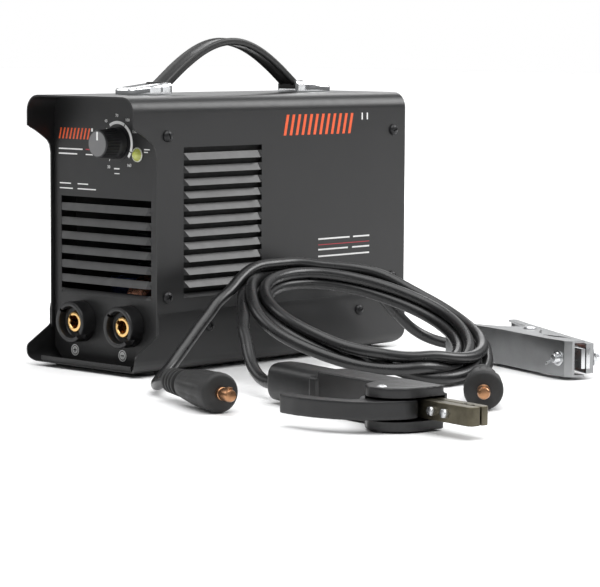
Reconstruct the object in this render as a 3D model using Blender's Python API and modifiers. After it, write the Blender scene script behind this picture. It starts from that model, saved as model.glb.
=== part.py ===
"""Stick welding inverter with its lead set, as separate sub-parts.

Lengths below are in millimetres; MM turns them into metres. The machine faces -Y and
stands on the floor z = 0. Its own numbers are measured from three planes: x from the
middle, "back" from the tips of the front ears, "up" from the underside of the tray.
"""

import math

import bmesh
import bpy
from mathutils import Euler, Matrix, Vector

MM = 0.001
GAP = 0.3

# Case
DEPTH = 296.0
HEIGHT = 200.0
COVER_HALF = 58.0
SHEET = 1.2
COVER_BEND = 12.0
TRAY_HALF = COVER_HALF + GAP + SHEET
TRAY_BEND = 9.0
TRAY_SLOPE_LOW = 38.0
TRAY_TOP = 42.7
TRAY_SCREW_UP = 30.3
TRAY_SCREWS = (75.5, 241.0)
COVER_EDGE = 23.1
COVER_SCREWS = ((33.6, 171.5), (33.6, 54.1), (281.6, 170.5), (281.6, 54.1))
SCREW_HOLE_R = 2.6
FOOT_HEIGHT = 3.0
FRONT_Y = -154.0
PANEL_BACK = 26.0
REAR_BACK = 287.0
PANEL_HALF = COVER_HALF - SHEET - GAP
PANEL_TOP = HEIGHT - SHEET - GAP
FLANGE = 19.0
GLAND_END = 308.0

# Louvres: (count, height where the lowest slat would start, pitch, opening)
SIDE_LOUVRES = (12, 50.85, 9.345, 4.2)
SIDE_LOUVRE_BACK = (50.0, 132.0)
FRONT_LOUVRES = (7, 49.2, 10.72, 5.2)
FRONT_LOUVRE_HALF = 48.9
LOWEST_SLAT = 3.0  # the slat under the lowest opening is only a lip
LIP_OVERLAP = 0.7
SLAT_OUT = 2.4
SLAT_IN = 1.0
SLAT_CHEEK = 4.0

# Front fittings
KNOB = (13.1, 165.3)
KNOB_FRONT = 6.0
KNOB_BACK = 25.4
KNOB_RIBS = 14
LENS = (34.5, 157.5)
SOCKET_X = 26.15
SOCKET_UP = 31.0
SOCKET_FRONT = 13.1

# Rear fittings
FAN = (0.0, 62.0)
FAN_SIZE = 92.0
FAN_HOLE_R = 43.5
FAN_FRONT = 261.0
SWITCH = (27.0, 150.0)
SWITCH_TILT = 10.0
GLAND = (-28.0, 150.0)

# Handle
HANDLE_MIDDLE = 152.5
HANDLE_BASE_UP = 204.5
HANDLE_RISE = 35.2
HANDLE_HALF_WAVE = 147.0
STRAP_WIDTH = 16.0
STRAP_THICK = 5.6
CAP_WIDTH = 21.0

# Lead set: a coil tilted against the side panel, with its four ends on the floor
LEAD_D = 8.5
COIL_OUTER_R = 102.0
COIL_INNER_R = 69.0
COIL_THICK = 18.6
COIL_TILT = math.radians(20.0)
COIL_X = 159.5
COIL_Y = -19.0
PLUG_R = 13.5
PLUG_LENGTH = 76.0

COLLECTION = "stick_welding_inverter"
CUTTERS = "cutters"


def clear_scene():
    for obj in list(bpy.data.objects):
        bpy.data.objects.remove(obj, do_unlink=True)
    for name in (COLLECTION, CUTTERS):
        bpy.context.scene.collection.children.link(bpy.data.collections.new(name))


def material(name, colour, roughness, metallic=0.0):
    found = bpy.data.materials.new(name)
    found.use_nodes = True
    shader = found.node_tree.nodes["Principled BSDF"]
    shader.inputs["Base Color"].default_value = (*colour, 1.0)
    shader.inputs["Roughness"].default_value = roughness
    shader.inputs["Metallic"].default_value = metallic
    return found


def at(x, back, up):
    """A point of the machine, in metres."""
    return Vector((x, FRONT_Y + back, FOOT_HEIGHT + up)) * MM


def link(obj, look, cutter=False):
    bpy.data.collections[CUTTERS if cutter else COLLECTION].objects.link(obj)
    if cutter:
        obj.hide_render = True
        obj.display_type = "WIRE"
    else:
        obj.data.materials.clear()
        obj.data.materials.append(material(obj.name, *look))
    return obj


def smooth(obj, degrees=35.0):
    obj.data.shade_smooth()
    obj.data.set_sharp_from_angle(angle=math.radians(degrees))
    return obj


def from_bmesh(name, bm, look, cutter=False, matrix=None):
    data = bpy.data.meshes.new(name)
    bm.to_mesh(data)
    bm.free()
    obj = bpy.data.objects.new(name, data)
    if matrix is not None:
        obj.matrix_world = matrix
    return link(obj, look, cutter)


def block(name, low, high, look, cutter=False, bevel=0.0, segments=2):
    """A box between two machine points (x, back, up)."""
    a, b = at(*low), at(*high)
    bm = bmesh.new()
    bmesh.ops.create_cube(bm, size=1.0)
    bmesh.ops.scale(bm, vec=b - a, verts=bm.verts)
    obj = from_bmesh(name, bm, look, cutter, Matrix.Translation((a + b) / 2))
    if bevel:
        rounded = obj.modifiers.new("edges", "BEVEL")
        rounded.width = bevel * MM
        rounded.segments = segments
    return obj


def turned(name, profile, place, direction, look, steps=24, ring=False, cutter=False):
    """A profile of (radius, height) pairs turned about `direction`; heights are along it.

    The profile starts at its top, runs down its outer side and, on a ring, back up inside.
    """
    data = bpy.data.meshes.new(name)
    points = [(r * MM, 0.0, h * MM) for r, h in profile]
    edges = [(i, i + 1) for i in range(len(points) - 1)]
    if ring:
        edges.append((len(points) - 1, 0))
    data.from_pydata(points, edges, [])
    obj = bpy.data.objects.new(name, data)
    rotation = Vector(direction).to_track_quat("Z", "Y").to_matrix().to_4x4()
    obj.matrix_world = Matrix.Translation(place) @ rotation
    link(obj, look, cutter)
    screw = obj.modifiers.new("turn", "SCREW")
    screw.axis = "Z"
    screw.steps = steps
    screw.render_steps = steps
    screw.use_merge_vertices = True
    screw.merge_threshold = 0.00001
    return obj


def baked(obj, name, look, cutter=False):
    """The object's evaluated shape as a plain mesh object in its place."""
    bpy.context.view_layer.update()
    graph = bpy.context.evaluated_depsgraph_get()
    data = bpy.data.meshes.new_from_object(obj.evaluated_get(graph))
    matrix = obj.matrix_world.copy()
    source = obj.data
    bpy.data.objects.remove(obj, do_unlink=True)
    if isinstance(source, bpy.types.Curve):
        bpy.data.curves.remove(source)
    bm = bmesh.new()
    bm.from_mesh(data)
    bmesh.ops.remove_doubles(bm, verts=bm.verts, dist=0.00001)
    bmesh.ops.recalc_face_normals(bm, faces=bm.faces)
    bm.to_mesh(data)
    bm.free()
    data.name = name
    result = bpy.data.objects.new(name, data)
    result.matrix_world = matrix
    return link(result, look, cutter)


def outline(name, loops, thickness, matrix, look, cutter=False):
    """A flat outline with holes, its thickness centred on the plane of `matrix`."""
    curve = bpy.data.curves.new(name, "CURVE")
    curve.dimensions = "2D"
    curve.fill_mode = "BOTH"
    curve.extrude = thickness * MM / 2
    for loop in loops:
        spline = curve.splines.new("POLY")
        spline.points.add(len(loop) - 1)
        for point, (u, v) in zip(spline.points, loop):
            point.co = (u * MM, v * MM, 0.0, 1.0)
        spline.use_cyclic_u = True
    obj = bpy.data.objects.new(name + "_outline", curve)
    bpy.data.collections[COLLECTION].objects.link(obj)
    obj.matrix_world = matrix
    return baked(obj, name, look, cutter)


def facing_x(x, back=0.0, up=0.0):
    """Plane whose outline is drawn as (back, up), at a given x."""
    frame = Matrix(((0, 0, 1), (1, 0, 0), (0, 1, 0))).to_4x4()
    return Matrix.Translation(at(x, back, up)) @ frame


def facing_y(back, x=0.0, up=0.0):
    """Plane whose outline is drawn as (x, up), at a given distance back."""
    frame = Matrix(((1, 0, 0), (0, 0, -1), (0, 1, 0))).to_4x4()
    return Matrix.Translation(at(x, back, up)) @ frame


def arc(centre, radius, start, end, count):
    """Points on an arc, angles in degrees."""
    found = []
    for i in range(count + 1):
        angle = math.radians(start + (end - start) * i / count)
        found.append((centre[0] + radius * math.cos(angle), centre[1] + radius * math.sin(angle)))
    return found


def circle(centre, radius, count=24):
    return arc(centre, radius, 0.0, 360.0 * (count - 1) / count, count - 1)


def cut(obj, cutter, operation="DIFFERENCE"):
    change = obj.modifiers.new(operation.lower(), "BOOLEAN")
    change.operation = operation
    change.solver = "EXACT"
    change.object = cutter
    return obj


def joined(name, pieces, look=None, cutter=True):
    """Separate closed shapes as one helper mesh."""
    bm = bmesh.new()
    bpy.context.view_layer.update()
    graph = bpy.context.evaluated_depsgraph_get()
    for piece in pieces:
        data = bpy.data.meshes.new_from_object(piece.evaluated_get(graph))
        data.transform(piece.matrix_world)
        bm.from_mesh(data)
        bpy.data.meshes.remove(data)
        bpy.data.objects.remove(piece, do_unlink=True)
    return from_bmesh(name, bm, look, cutter)


def rod(name, start, end, radius, steps=12):
    """A cutter rod between two points in metres."""
    start, end = Vector(start), Vector(end)
    length = (end - start).length / MM
    profile = ((0.0, length), (radius, length), (radius, 0.0), (0.0, 0.0))
    return turned(name, profile, start, end - start, None, steps=steps, cutter=True)


def finish(obj, degrees=35.0):
    """Applies the modifiers, so that the object is a plain mesh with smooth round faces."""
    look = tuple(obj.data.materials[0].node_tree.nodes["Principled BSDF"].inputs[key].default_value
                 for key in ("Base Color", "Roughness", "Metallic"))
    name = obj.name
    obj.name = name + "_raw"
    old = obj.data.materials[0]
    result = baked(obj, name, (look[0][:3], look[1], look[2]))
    bpy.data.materials.remove(old)
    result.data.materials[0].name = name
    return smooth(result, degrees)


PAINT = ((0.035, 0.035, 0.036), 0.42, 0.2)
PANEL_PAINT = ((0.022, 0.022, 0.024), 0.45, 0.1)
BLACK_PLASTIC = ((0.015, 0.015, 0.016), 0.45)
RUBBER = ((0.02, 0.02, 0.02), 0.8)
CHROME = ((0.8, 0.8, 0.82), 0.12, 1.0)
BRASS = ((0.72, 0.48, 0.2), 0.28, 1.0)
COPPER = ((0.62, 0.3, 0.2), 0.35, 1.0)
STEEL = ((0.5, 0.5, 0.52), 0.35, 1.0)
ALUMINIUM = ((0.7, 0.71, 0.73), 0.35, 1.0)
BOARD_GREEN = ((0.02, 0.12, 0.05), 0.5)
BLACK_STEEL = ((0.02, 0.02, 0.02), 0.3, 0.6)


# ---------------------------------------------------------------- case

def u_section(half, low, top, bend, thickness):
    """Closed outline of an upturned U: the cover's section seen from the front."""
    corner = (half - bend, top - bend)
    outer = [(half, low)] + arc(corner, bend, 0, 90, 6)
    inner = arc(corner, bend - thickness, 90, 0, 6) + [(half - thickness, low)]
    right = outer + [(-x, z) for x, z in reversed(outer)]
    left = [(-x, z) for x, z in reversed(inner)] + inner
    return right + left


def louvre_bands(count, lowest, pitch, opening):
    """(bottom, top) of each slat, which has its opening above it. The lowest slat is a short lip."""
    slat = pitch - opening
    bands = [(lowest + i * pitch, lowest + i * pitch + slat) for i in range(count)]
    bands[0] = (bands[0][1] - LOWEST_SLAT, bands[0][1])
    return bands


def louvre_slat(length, low, high, frame):
    """One pressed slat along X of `frame`, whose Y is depth and Z is up.

    Its ends lie flat in the sheet, and between them it leans out at its foot.
    """
    flat = ((0.1, low), (0.1, high), (SHEET - 0.1, high), (SHEET - 0.1, low))
    lean = ((-SLAT_OUT, low), (SLAT_IN, high), (SLAT_IN + SHEET, high), (SHEET - SLAT_OUT, low))
    end = length / 2 + GAP
    bm = bmesh.new()
    rings = []
    for along, section in ((-end, flat), (SLAT_CHEEK - end, lean), (end - SLAT_CHEEK, lean), (end, flat)):
        rings.append([bm.verts.new(Vector((along, depth, up)) * MM) for depth, up in section])
    for first, second in zip(rings, rings[1:]):
        for i in range(4):
            bm.faces.new((first[i], second[i], second[(i + 1) % 4], first[(i + 1) % 4]))
    bm.faces.new(rings[0])
    bm.faces.new(rings[-1][::-1])
    bmesh.ops.recalc_face_normals(bm, faces=bm.faces)
    return from_bmesh("slat", bm, None, cutter=True, matrix=frame)


def side_slats(sign):
    """Slats of one side wall, and the window that they stand in."""
    surface = sign * COVER_HALF
    start, end = SIDE_LOUVRE_BACK
    bands = louvre_bands(*SIDE_LOUVRES)
    turn = Matrix(((0, -sign, 0), (1, 0, 0), (0, 0, 1))).to_4x4()
    place = Matrix.Translation(at(surface, (start + end) / 2, 0)) @ turn
    slats = [louvre_slat(end - start, low, high, place) for low, high in bands]
    top = bands[-1][1] + SIDE_LOUVRES[3]
    foot = bands[0][0] + LIP_OVERLAP
    window = block("window", (surface - 3, start, foot), (surface + 3, end, top), None, cutter=True)
    return slats, window


def top_cover():
    cover = outline("top_cover", [u_section(COVER_HALF, 24.0, HEIGHT, COVER_BEND, SHEET)], DEPTH,
                    facing_y(DEPTH / 2), PAINT)
    front = [(-10, 10), (-10, 177), (0.6, 177), (3.0, 175.4)]
    front += [(8.0, 173.0), (14.6, 169.0), (19.5, 165.6), (22.1, 162.0)]
    front += [(COVER_EDGE, 156.0), (COVER_EDGE, 10)]
    ears = outline("ear_cutter", [front], 140, facing_x(0), None, cutter=True)
    holes = []
    for back, up in COVER_SCREWS:
        holes.append(rod("hole", at(-70, back, up), at(70, back, up), SCREW_HOLE_R))
    for back in TRAY_SCREWS:
        holes.append(rod("hole", at(-70, back, TRAY_SCREW_UP), at(70, back, TRAY_SCREW_UP), SCREW_HOLE_R))
    slats, windows = [], []
    for sign in (1, -1):
        more_slats, window = side_slats(sign)
        slats += more_slats
        windows.append(window)
    cut(cover, ears)
    cut(cover, joined("cover_openings", windows + holes))
    cut(cover, joined("cover_slats", slats), "UNION")
    return finish(cover)


def base_tray():
    half, bend = TRAY_HALF, TRAY_BEND
    corner = (half - bend, bend)
    outer = [(half - 1.0, TRAY_TOP), (half, TRAY_SLOPE_LOW)] + arc(corner, bend, 0, -90, 6)
    inner = arc(corner, bend - SHEET, -90, 0, 6) + [(half - SHEET, TRAY_TOP)]
    section = outer + [(-x, z) for x, z in reversed(outer)] + [(-x, z) for x, z in reversed(inner)] + inner
    tray = outline("base_tray", [section], DEPTH, facing_y(DEPTH / 2), PAINT)
    front = [(-10, 60), (COVER_EDGE, 60), (COVER_EDGE, 27), (21.5, 25.6), (4.5, 15.4)]
    front += arc((5.0, 10.0), 5.0, 110, 180, 4) + [(0.0, 6.0)] + arc((6.0, 6.0), 6.0, 180, 270, 4)
    front += [(6.0, -10), (-10, -10)]
    rear = [(DEPTH - 12, -5), (DEPTH - 12, 0)] + arc((DEPTH - 12, 12.0), 12.0, -90, 0, 5)
    rear += [(DEPTH + 5, 12), (DEPTH + 5, -5)]
    ends = [outline("ends", [loop], 140, facing_x(0), None, cutter=True) for loop in (front, rear)]
    holes = []
    for back in TRAY_SCREWS:
        holes.append(rod("hole", at(-70, back, TRAY_SCREW_UP), at(70, back, TRAY_SCREW_UP), SCREW_HOLE_R))
    added = [block("lip", (-49, 5.2, 0.2), (49, 6.6, 5.0), None, cutter=True)]
    for x in (-42, 42):
        for back in (62, 232):
            added.append(rod("post", at(x, back, 0.6), at(x, back, 13.5), 3.0))
    cut(tray, joined("tray_cutters", ends + holes))
    cut(tray, joined("tray_additions", added), "UNION")
    return finish(tray)


def panel_outline(low):
    bend = COVER_BEND - SHEET
    corner = (PANEL_HALF - bend, PANEL_TOP - bend)
    right = [(PANEL_HALF - 8, low), (PANEL_HALF, low + 8)] + arc(corner, bend, 0, 90, 5)
    return right + [(-x, z) for x, z in reversed(right)]


def flanges(first, last):
    """Side flanges of a panel, which the cover's screws go into."""
    found = []
    for sign in (1, -1):
        inner, outer = sorted((sign * (PANEL_HALF - SHEET), sign * PANEL_HALF))
        found.append(block("flange", (inner, first, 46), (outer, last, 182), None, cutter=True))
    return found


def front_panel():
    sockets = [circle((sign * SOCKET_X, SOCKET_UP), 11.6, 24) for sign in (-1, 1)]
    holes = sockets + [circle(KNOB, 4.2, 12), circle(LENS, 2.8, 12)]
    panel = outline("front_panel", [panel_outline(1.6)] + holes, SHEET, facing_y(PANEL_BACK + SHEET / 2),
                    PANEL_PAINT)
    half = FRONT_LOUVRE_HALF
    bands = louvre_bands(*FRONT_LOUVRES)
    place = Matrix.Translation(at(0, PANEL_BACK, 0))
    slats = [louvre_slat(2 * half, low, high, place) for low, high in bands]
    top = bands[-1][1] + FRONT_LOUVRES[3]
    foot = bands[0][0] + LIP_OVERLAP
    cut(panel, block("window", (-half, PANEL_BACK - 3, foot), (half, PANEL_BACK + 4, top), None, cutter=True))
    cut(panel, joined("front_slats", slats + flanges(PANEL_BACK + 0.3, PANEL_BACK + FLANGE)), "UNION")
    screws = [rod("hole", at(-70, back, up), at(70, back, up), SCREW_HOLE_R) for back, up in COVER_SCREWS[:2]]
    cut(panel, joined("front_screw_holes", screws))
    return finish(panel)


def rear_panel():
    fan = circle(FAN, FAN_HOLE_R - 1.0, 32)
    half_x, half_up = 11.0, 14.0
    x, up = SWITCH
    switch = [(x - half_x, up - half_up), (x + half_x, up - half_up), (x + half_x, up + half_up),
              (x - half_x, up + half_up)]
    holes = [fan, switch, circle(GLAND, 8.4, 20)]
    panel = outline("rear_panel", [panel_outline(1.6)] + holes, SHEET, facing_y(REAR_BACK + SHEET / 2),
                    PANEL_PAINT)
    cut(panel, joined("rear_flanges", flanges(REAR_BACK - 13, REAR_BACK + 0.9)), "UNION")
    screws = [rod("hole", at(-70, back, up), at(70, back, up), SCREW_HOLE_R) for back, up in COVER_SCREWS[2:]]
    cut(panel, joined("rear_screw_holes", screws))
    return finish(panel)


def case_screw(name, sign, back, up, surface):
    """Pan-head screw; its shank passes the sheet and its flange."""
    profile = ((0.0, 2.5), (2.8, 2.1), (4.3, 0.4), (4.3, 0.0), (2.0, 0.0), (2.0, -5.5), (0.0, -5.5))
    place = at(sign * (surface + GAP), back, up)
    return finish(turned(name, profile, place, (sign, 0, 0), BLACK_STEEL, steps=10))


def case_screws():
    for sign, side in ((1, "right"), (-1, "left")):
        for number, (back, up) in enumerate(COVER_SCREWS, 1):
            case_screw(f"cover_screw_{side}_{number}", sign, back, up, COVER_HALF)


def feet():
    profile = ((0.0, 2.7), (9.0, 2.7), (8.0, 0.0), (0.0, 0.0))
    for number, (x, back) in enumerate(((42, 24.5), (-42, 24.5), (42, 262.0), (-42, 262.0)), 1):
        place = Vector((x, FRONT_Y + back, 0.0)) * MM
        finish(turned(f"rubber_foot_{number}", profile, place, (0, 0, 1), RUBBER, steps=20))


# ---------------------------------------------------------------- handle

def strap_up(along):
    return HANDLE_BASE_UP + HANDLE_RISE * math.cos(math.pi * along / HANDLE_HALF_WAVE)


def handle_strap():
    count, reach = 22, 72.0
    centre = [(-reach + 2 * reach * i / count) for i in range(count + 1)]
    upper, lower = [], []
    for along in centre:
        slope = -HANDLE_RISE * math.pi / HANDLE_HALF_WAVE * math.sin(math.pi * along / HANDLE_HALF_WAVE)
        normal = Vector((-slope, 1.0)).normalized() * STRAP_THICK / 2
        upper.append((HANDLE_MIDDLE + along + normal.x, strap_up(along) + normal.y))
        lower.append((HANDLE_MIDDLE + along - normal.x, strap_up(along) - normal.y))
    strap = outline("handle_strap", [upper + lower[::-1]], STRAP_WIDTH, facing_x(0), BLACK_PLASTIC)
    return smooth(strap)


def handle_cap(name, sign):
    """Chromed wedge-shaped end cap; the strap lies in the notch at its high inner end."""
    far, near = 109.5, 68.0
    side = [(far, HEIGHT + GAP), (far, 203.6), (far - 0.8, 205.0), (far - 2.6, 205.9), (near + 0.8, 209.6),
            (near, 208.8), (near, HEIGHT + GAP)]
    side = [(HANDLE_MIDDLE + sign * along, up) for along, up in side]
    cap = outline(name, [side], CAP_WIDTH, facing_x(0), CHROME)
    notch = sorted((HANDLE_MIDDLE + sign * 77.5, HANDLE_MIDDLE + sign * (near - 3)))
    half = STRAP_WIDTH / 2 + 0.5
    cut(cap, block(name + "_notch", (-half, notch[0], 202.6), (half, notch[1], 215), None, cutter=True))
    return finish(cap)


# ---------------------------------------------------------------- front fittings

def sockets():
    """Bayonet welding sockets: an insulating collar around a brass contact."""
    front, panel = 0.0, PANEL_BACK - SOCKET_FRONT - GAP
    collar = ((12.6, front), (14.6, front), (15.4, -1.0), (15.4, -panel), (11.2, -panel), (11.2, -30.0),
              (7.9, -30.0), (7.9, -9.0), (11.6, -6.0))
    contact = ((4.6, -4.6), (7.0, -4.6), (7.5, -5.2), (7.5, -38.0), (5.0, -38.0), (5.0, -48.0), (2.0, -48.0),
               (2.0, -36.0), (4.6, -36.0))
    for sign, side in ((-1, "positive"), (1, "negative")):
        place = at(sign * SOCKET_X, SOCKET_FRONT, SOCKET_UP)
        finish(turned(f"socket_body_{side}", collar, place, (0, -1, 0), BLACK_PLASTIC, steps=24, ring=True))
        finish(turned(f"socket_contact_{side}", contact, place, (0, -1, 0), BRASS, steps=18, ring=True))


def current_knob():
    """Knob on the axis of its shaft, with grip ribs and a raised pointer."""
    length = KNOB_BACK - KNOB_FRONT
    profile = ((0.0, 0.0), (9.4, 0.0), (10.2, -0.8), (10.2, -12.5), (11.4, -14.5), (11.4, -length),
               (3.4, -length), (3.4, -8.0), (0.0, -8.0))
    place = at(KNOB[0], KNOB_FRONT, KNOB[1])
    knob = turned("current_knob", profile, place, (0, -1, 0), BLACK_PLASTIC, steps=28)
    x, up = KNOB
    pointer = block("pointer", (x - 0.8, KNOB_FRONT - 0.5, up + 2), (x + 0.8, KNOB_FRONT + 0.8, up + 9.2),
                    None, cutter=True)
    ribs = [pointer]
    for i in range(KNOB_RIBS):
        angle = 2 * math.pi * i / KNOB_RIBS
        offset = Vector((math.cos(angle), 0, math.sin(angle))) * 10.1 * MM
        start = at(x, KNOB_FRONT + 1.6, up) + offset
        ribs.append(rod("rib", start, start + Vector((0, 10.5 * MM, 0)), 0.75, steps=6))
    cut(knob, joined("knob_ribs", ribs), "UNION")
    return finish(knob)


def potentiometer():
    place = at(KNOB[0], PANEL_BACK, KNOB[1])
    shaft = ((0.0, 11.5), (3.0, 11.5), (3.0, -14.0), (0.0, -14.0))
    finish(turned("potentiometer_shaft", shaft, place, (0, -1, 0), ALUMINIUM, steps=16))
    body = ((0.0, -14.6), (3.3, -14.6), (3.3, -1.6), (5.5, -1.6), (5.5, -5.0), (8.5, -5.0), (8.5, -19.6),
            (0.0, -19.6))
    finish(turned("potentiometer", body, place, (0, -1, 0), STEEL, steps=20))


def indicator_lens():
    profile = ((0.0, 3.4), (2.2, 3.0), (3.7, 1.7), (4.5, 0.0), (4.5, -0.1), (2.4, -0.1), (2.4, -9.0),
               (0.0, -9.0))
    place = at(LENS[0], PANEL_BACK - 0.5, LENS[1])
    finish(turned("indicator_lens", profile, place, (0, -1, 0), ((0.5, 0.55, 0.12), 0.2), steps=20))


# ---------------------------------------------------------------- rear fittings

def power_switch():
    x, up = SWITCH
    rear = REAR_BACK + SHEET
    housing = block("switch_housing", (x - 13.5, rear + GAP, up - 16.5), (x + 13.5, rear + 2.6, up + 16.5),
                    BLACK_PLASTIC, bevel=0.8, segments=1)
    body = block("housing_body", (x - 10.6, rear - 22, up - 13.6), (x + 10.6, rear + 1.5, up + 13.6),
                 None, cutter=True)
    window = block("housing_window", (x - 8.0, rear - 12, up - 12.2), (x + 8.0, rear + 6, up + 12.2),
                   None, cutter=True)
    cut(housing, body, "UNION")
    cut(housing, window)
    finish(housing)
    ends = 11.4
    top = [(ends * math.sin(a), ends * math.cos(a)) for a in (math.radians(d) for d in (0, 12, 24, 36))]
    bottom = [(depth, -height) for depth, height in reversed(top)]
    rocker = top + [(5.4, 0.0)] + bottom + [(-3.0, -8.0), (-3.0, 8.0)]
    tilt = math.radians(SWITCH_TILT)
    turned_points = [(d * math.cos(tilt) + h * math.sin(tilt), -d * math.sin(tilt) + h * math.cos(tilt))
                     for d, h in rocker]
    return smooth(outline("switch_rocker", [turned_points], 14.6, facing_x(x, rear - 2.0, up), BLACK_PLASTIC))


def fan_blade(angle):
    """One twisted blade, as a lofted strip between the hub and the rim."""
    bm = bmesh.new()
    sections = []
    for radius, twist, width in ((16.0, 48.0, 15.0), (29.0, 36.0, 19.0), (41.0, 26.0, 22.0)):
        ring = []
        for side, face in ((-1, -1), (1, -1), (1, 1), (-1, 1)):
            lean = math.radians(twist)
            across = side * width / 2
            along = across * math.cos(lean) - face * 0.8 * math.sin(lean)
            depth = across * math.sin(lean) + face * 0.8 * math.cos(lean)
            spot = Vector((along, depth * 0.9, radius))
            spot = Matrix.Rotation(angle, 3, "Y") @ spot
            ring.append(bm.verts.new(spot * MM))
        sections.append(ring)
    for first, second in zip(sections, sections[1:]):
        for i in range(4):
            bm.faces.new((first[i], first[(i + 1) % 4], second[(i + 1) % 4], second[i]))
    bm.faces.new(sections[0])
    bm.faces.new(sections[-1][::-1])
    bmesh.ops.recalc_face_normals(bm, faces=bm.faces)
    hub = Matrix.Translation(at(FAN[0], FAN_FRONT + 14, FAN[1]))
    return from_bmesh("blade", bm, None, cutter=True, matrix=hub)


def fan():
    x, up = FAN
    half = FAN_SIZE / 2
    square = [(x - half, up - half), (x + half, up - half), (x + half, up + half), (x - half, up + half)]
    depth = REAR_BACK - GAP - FAN_FRONT
    middle = FAN_FRONT + depth / 2
    loops = [square, circle(FAN, FAN_HOLE_R, 32)]
    frame = outline("fan_frame", loops, depth, facing_y(middle), BLACK_PLASTIC)
    hub = rod("hub", at(x, FAN_FRONT, up), at(x, FAN_FRONT + 3.0, up), 18.0, steps=24)
    spans = (((x - 1.5, up + 12), (x + 1.5, up + 44.5)), ((x - 1.5, up - 44.5), (x + 1.5, up - 12)),
             ((x + 12, up - 1.5), (x + 44.5, up + 1.5)), ((x - 44.5, up - 1.5), (x - 12, up + 1.5)))
    struts = [block("strut", (a[0], FAN_FRONT, a[1]), (b[0], FAN_FRONT + 2.5, b[1]), None, cutter=True)
              for a, b in spans]
    for strut in struts:
        cut(hub, strut, "UNION")
    cut(frame, hub, "UNION")
    finish(frame)
    profile = ((0.0, 0.0), (18.0, 0.0), (19.0, -1.0), (19.0, -20.0), (0.0, -20.0))
    rotor = turned("fan_rotor", profile, at(x, FAN_FRONT + 24.0, up), (0, 1, 0), BLACK_PLASTIC, steps=28)
    for i in range(7):
        cut(rotor, fan_blade(2 * math.pi * i / 7), "UNION")
    finish(rotor)


def fan_guard():
    """Pressed grille over the fan: rings of curved slots."""
    x, up = FAN
    half, corner = 46.0, 7.0
    outer = []
    for start, cx, cy in ((0, 1, 1), (90, -1, 1), (180, -1, -1), (270, 1, -1)):
        outer += arc((x + cx * (half - corner), up + cy * (half - corner)), corner, start, start + 90, 4)
    slots = []
    for inner, wide in ((12.0, 5.5), (20.0, 5.5), (28.0, 5.5), (36.0, 5.5)):
        for quarter in range(4):
            start = 90.0 * quarter + 45.0
            trim = math.degrees(2.2 / inner)
            trim_out = math.degrees(2.2 / (inner + wide))
            slots.append(arc(FAN, inner, start + trim, start + 90 - trim, 5)
                         + arc(FAN, inner + wide, start + 90 - trim_out, start + trim_out, 5))
    rear = REAR_BACK + SHEET + GAP
    return smooth(outline("fan_guard", [outer] + slots, 1.4, facing_y(rear + 0.7), STEEL))


def mains_gland():
    """Cable gland: threaded body through the rear panel, domed nut behind it."""
    rear = REAR_BACK + SHEET + GAP
    length = GLAND_END - rear
    profile = ((5.0, length), (7.5, length), (10.0, length - 4), (11.0, length - 7), (11.0, 5.0), (13.0, 4.6),
               (13.0, 0.0), (7.9, 0.0), (7.9, -12.0), (5.0, -12.0))
    finish(turned("mains_gland", profile, at(GLAND[0], rear, GLAND[1]), (0, 1, 0), BLACK_PLASTIC, steps=24,
                  ring=True))


# ---------------------------------------------------------------- inner parts

def heatsink(name, sign):
    """Finned extrusion lying along the case."""
    x0, width, low, top, base = 12.0, 36.0, 15.8, 92.0, 5.0
    points = [(x0, low), (x0, top)]
    for i in range(7):
        up = top - i * 11.5
        points += [(x0 + width, up), (x0 + width, up - 2.4)]
        if i < 6:
            points += [(x0 + base, up - 2.4), (x0 + base, up - 11.5)]
    points += [(x0 + base, top - 6 * 11.5 - 2.4), (x0 + base, low)]
    points = [(sign * x, up) for x, up in points]
    return outline(name, [points], 92.0, facing_y(150.0), ALUMINIUM)


def inner_parts():
    block("main_board", (-50, 52, 13.9), (50, 242, 15.5), BOARD_GREEN)
    heatsink("heatsink_right", 1)
    heatsink("heatsink_left", -1)
    block("control_board", (-46, 46, 132), (46, 47.6, 186), BOARD_GREEN)
    core = [(-24, 15.8), (24, 15.8), (24, 60), (-24, 60)]
    windows = [[(-17, 23), (-8, 23), (-8, 53), (-17, 53)], [(8, 23), (17, 23), (17, 53), (8, 53)]]
    outline("transformer_core", [core] + windows, 26.0, facing_y(222.0), ((0.06, 0.06, 0.065), 0.6))
    winding_plane = Matrix.Translation(at(0, 222.0, 38.0))
    inner_loop = [(-8.3, -13.4), (8.3, -13.4), (8.3, 13.4), (-8.3, 13.4)]
    outer_loop = [(-16.4, -18), (-12, -21), (12, -21), (16.4, -18),
                  (16.4, 18), (12, 21), (-12, 21), (-16.4, 18)]
    outline("transformer_winding", [outer_loop, inner_loop], 28.0, winding_plane, COPPER)
    choke = ((9.0, 11.0), (21.0, 11.0), (24.0, 8.0), (24.0, -8.0), (21.0, -11.0), (9.0, -11.0), (7.0, -8.0),
             (7.0, 8.0))
    finish(turned("output_choke", choke, at(0, 76, 40.5), (1, 0, 0), COPPER, steps=24, ring=True))
    can = ((0.0, 45.0), (15.5, 45.0), (16.5, 44.0), (16.5, 0.0), (0.0, 0.0))
    for number, x in ((1, -33.0), (2, 33.0)):
        finish(turned(f"smoothing_capacitor_{number}", can, at(x, 84, 15.8), (0, 0, 1),
                      ((0.02, 0.03, 0.09), 0.3), steps=24))


# ---------------------------------------------------------------- lead set

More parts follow.
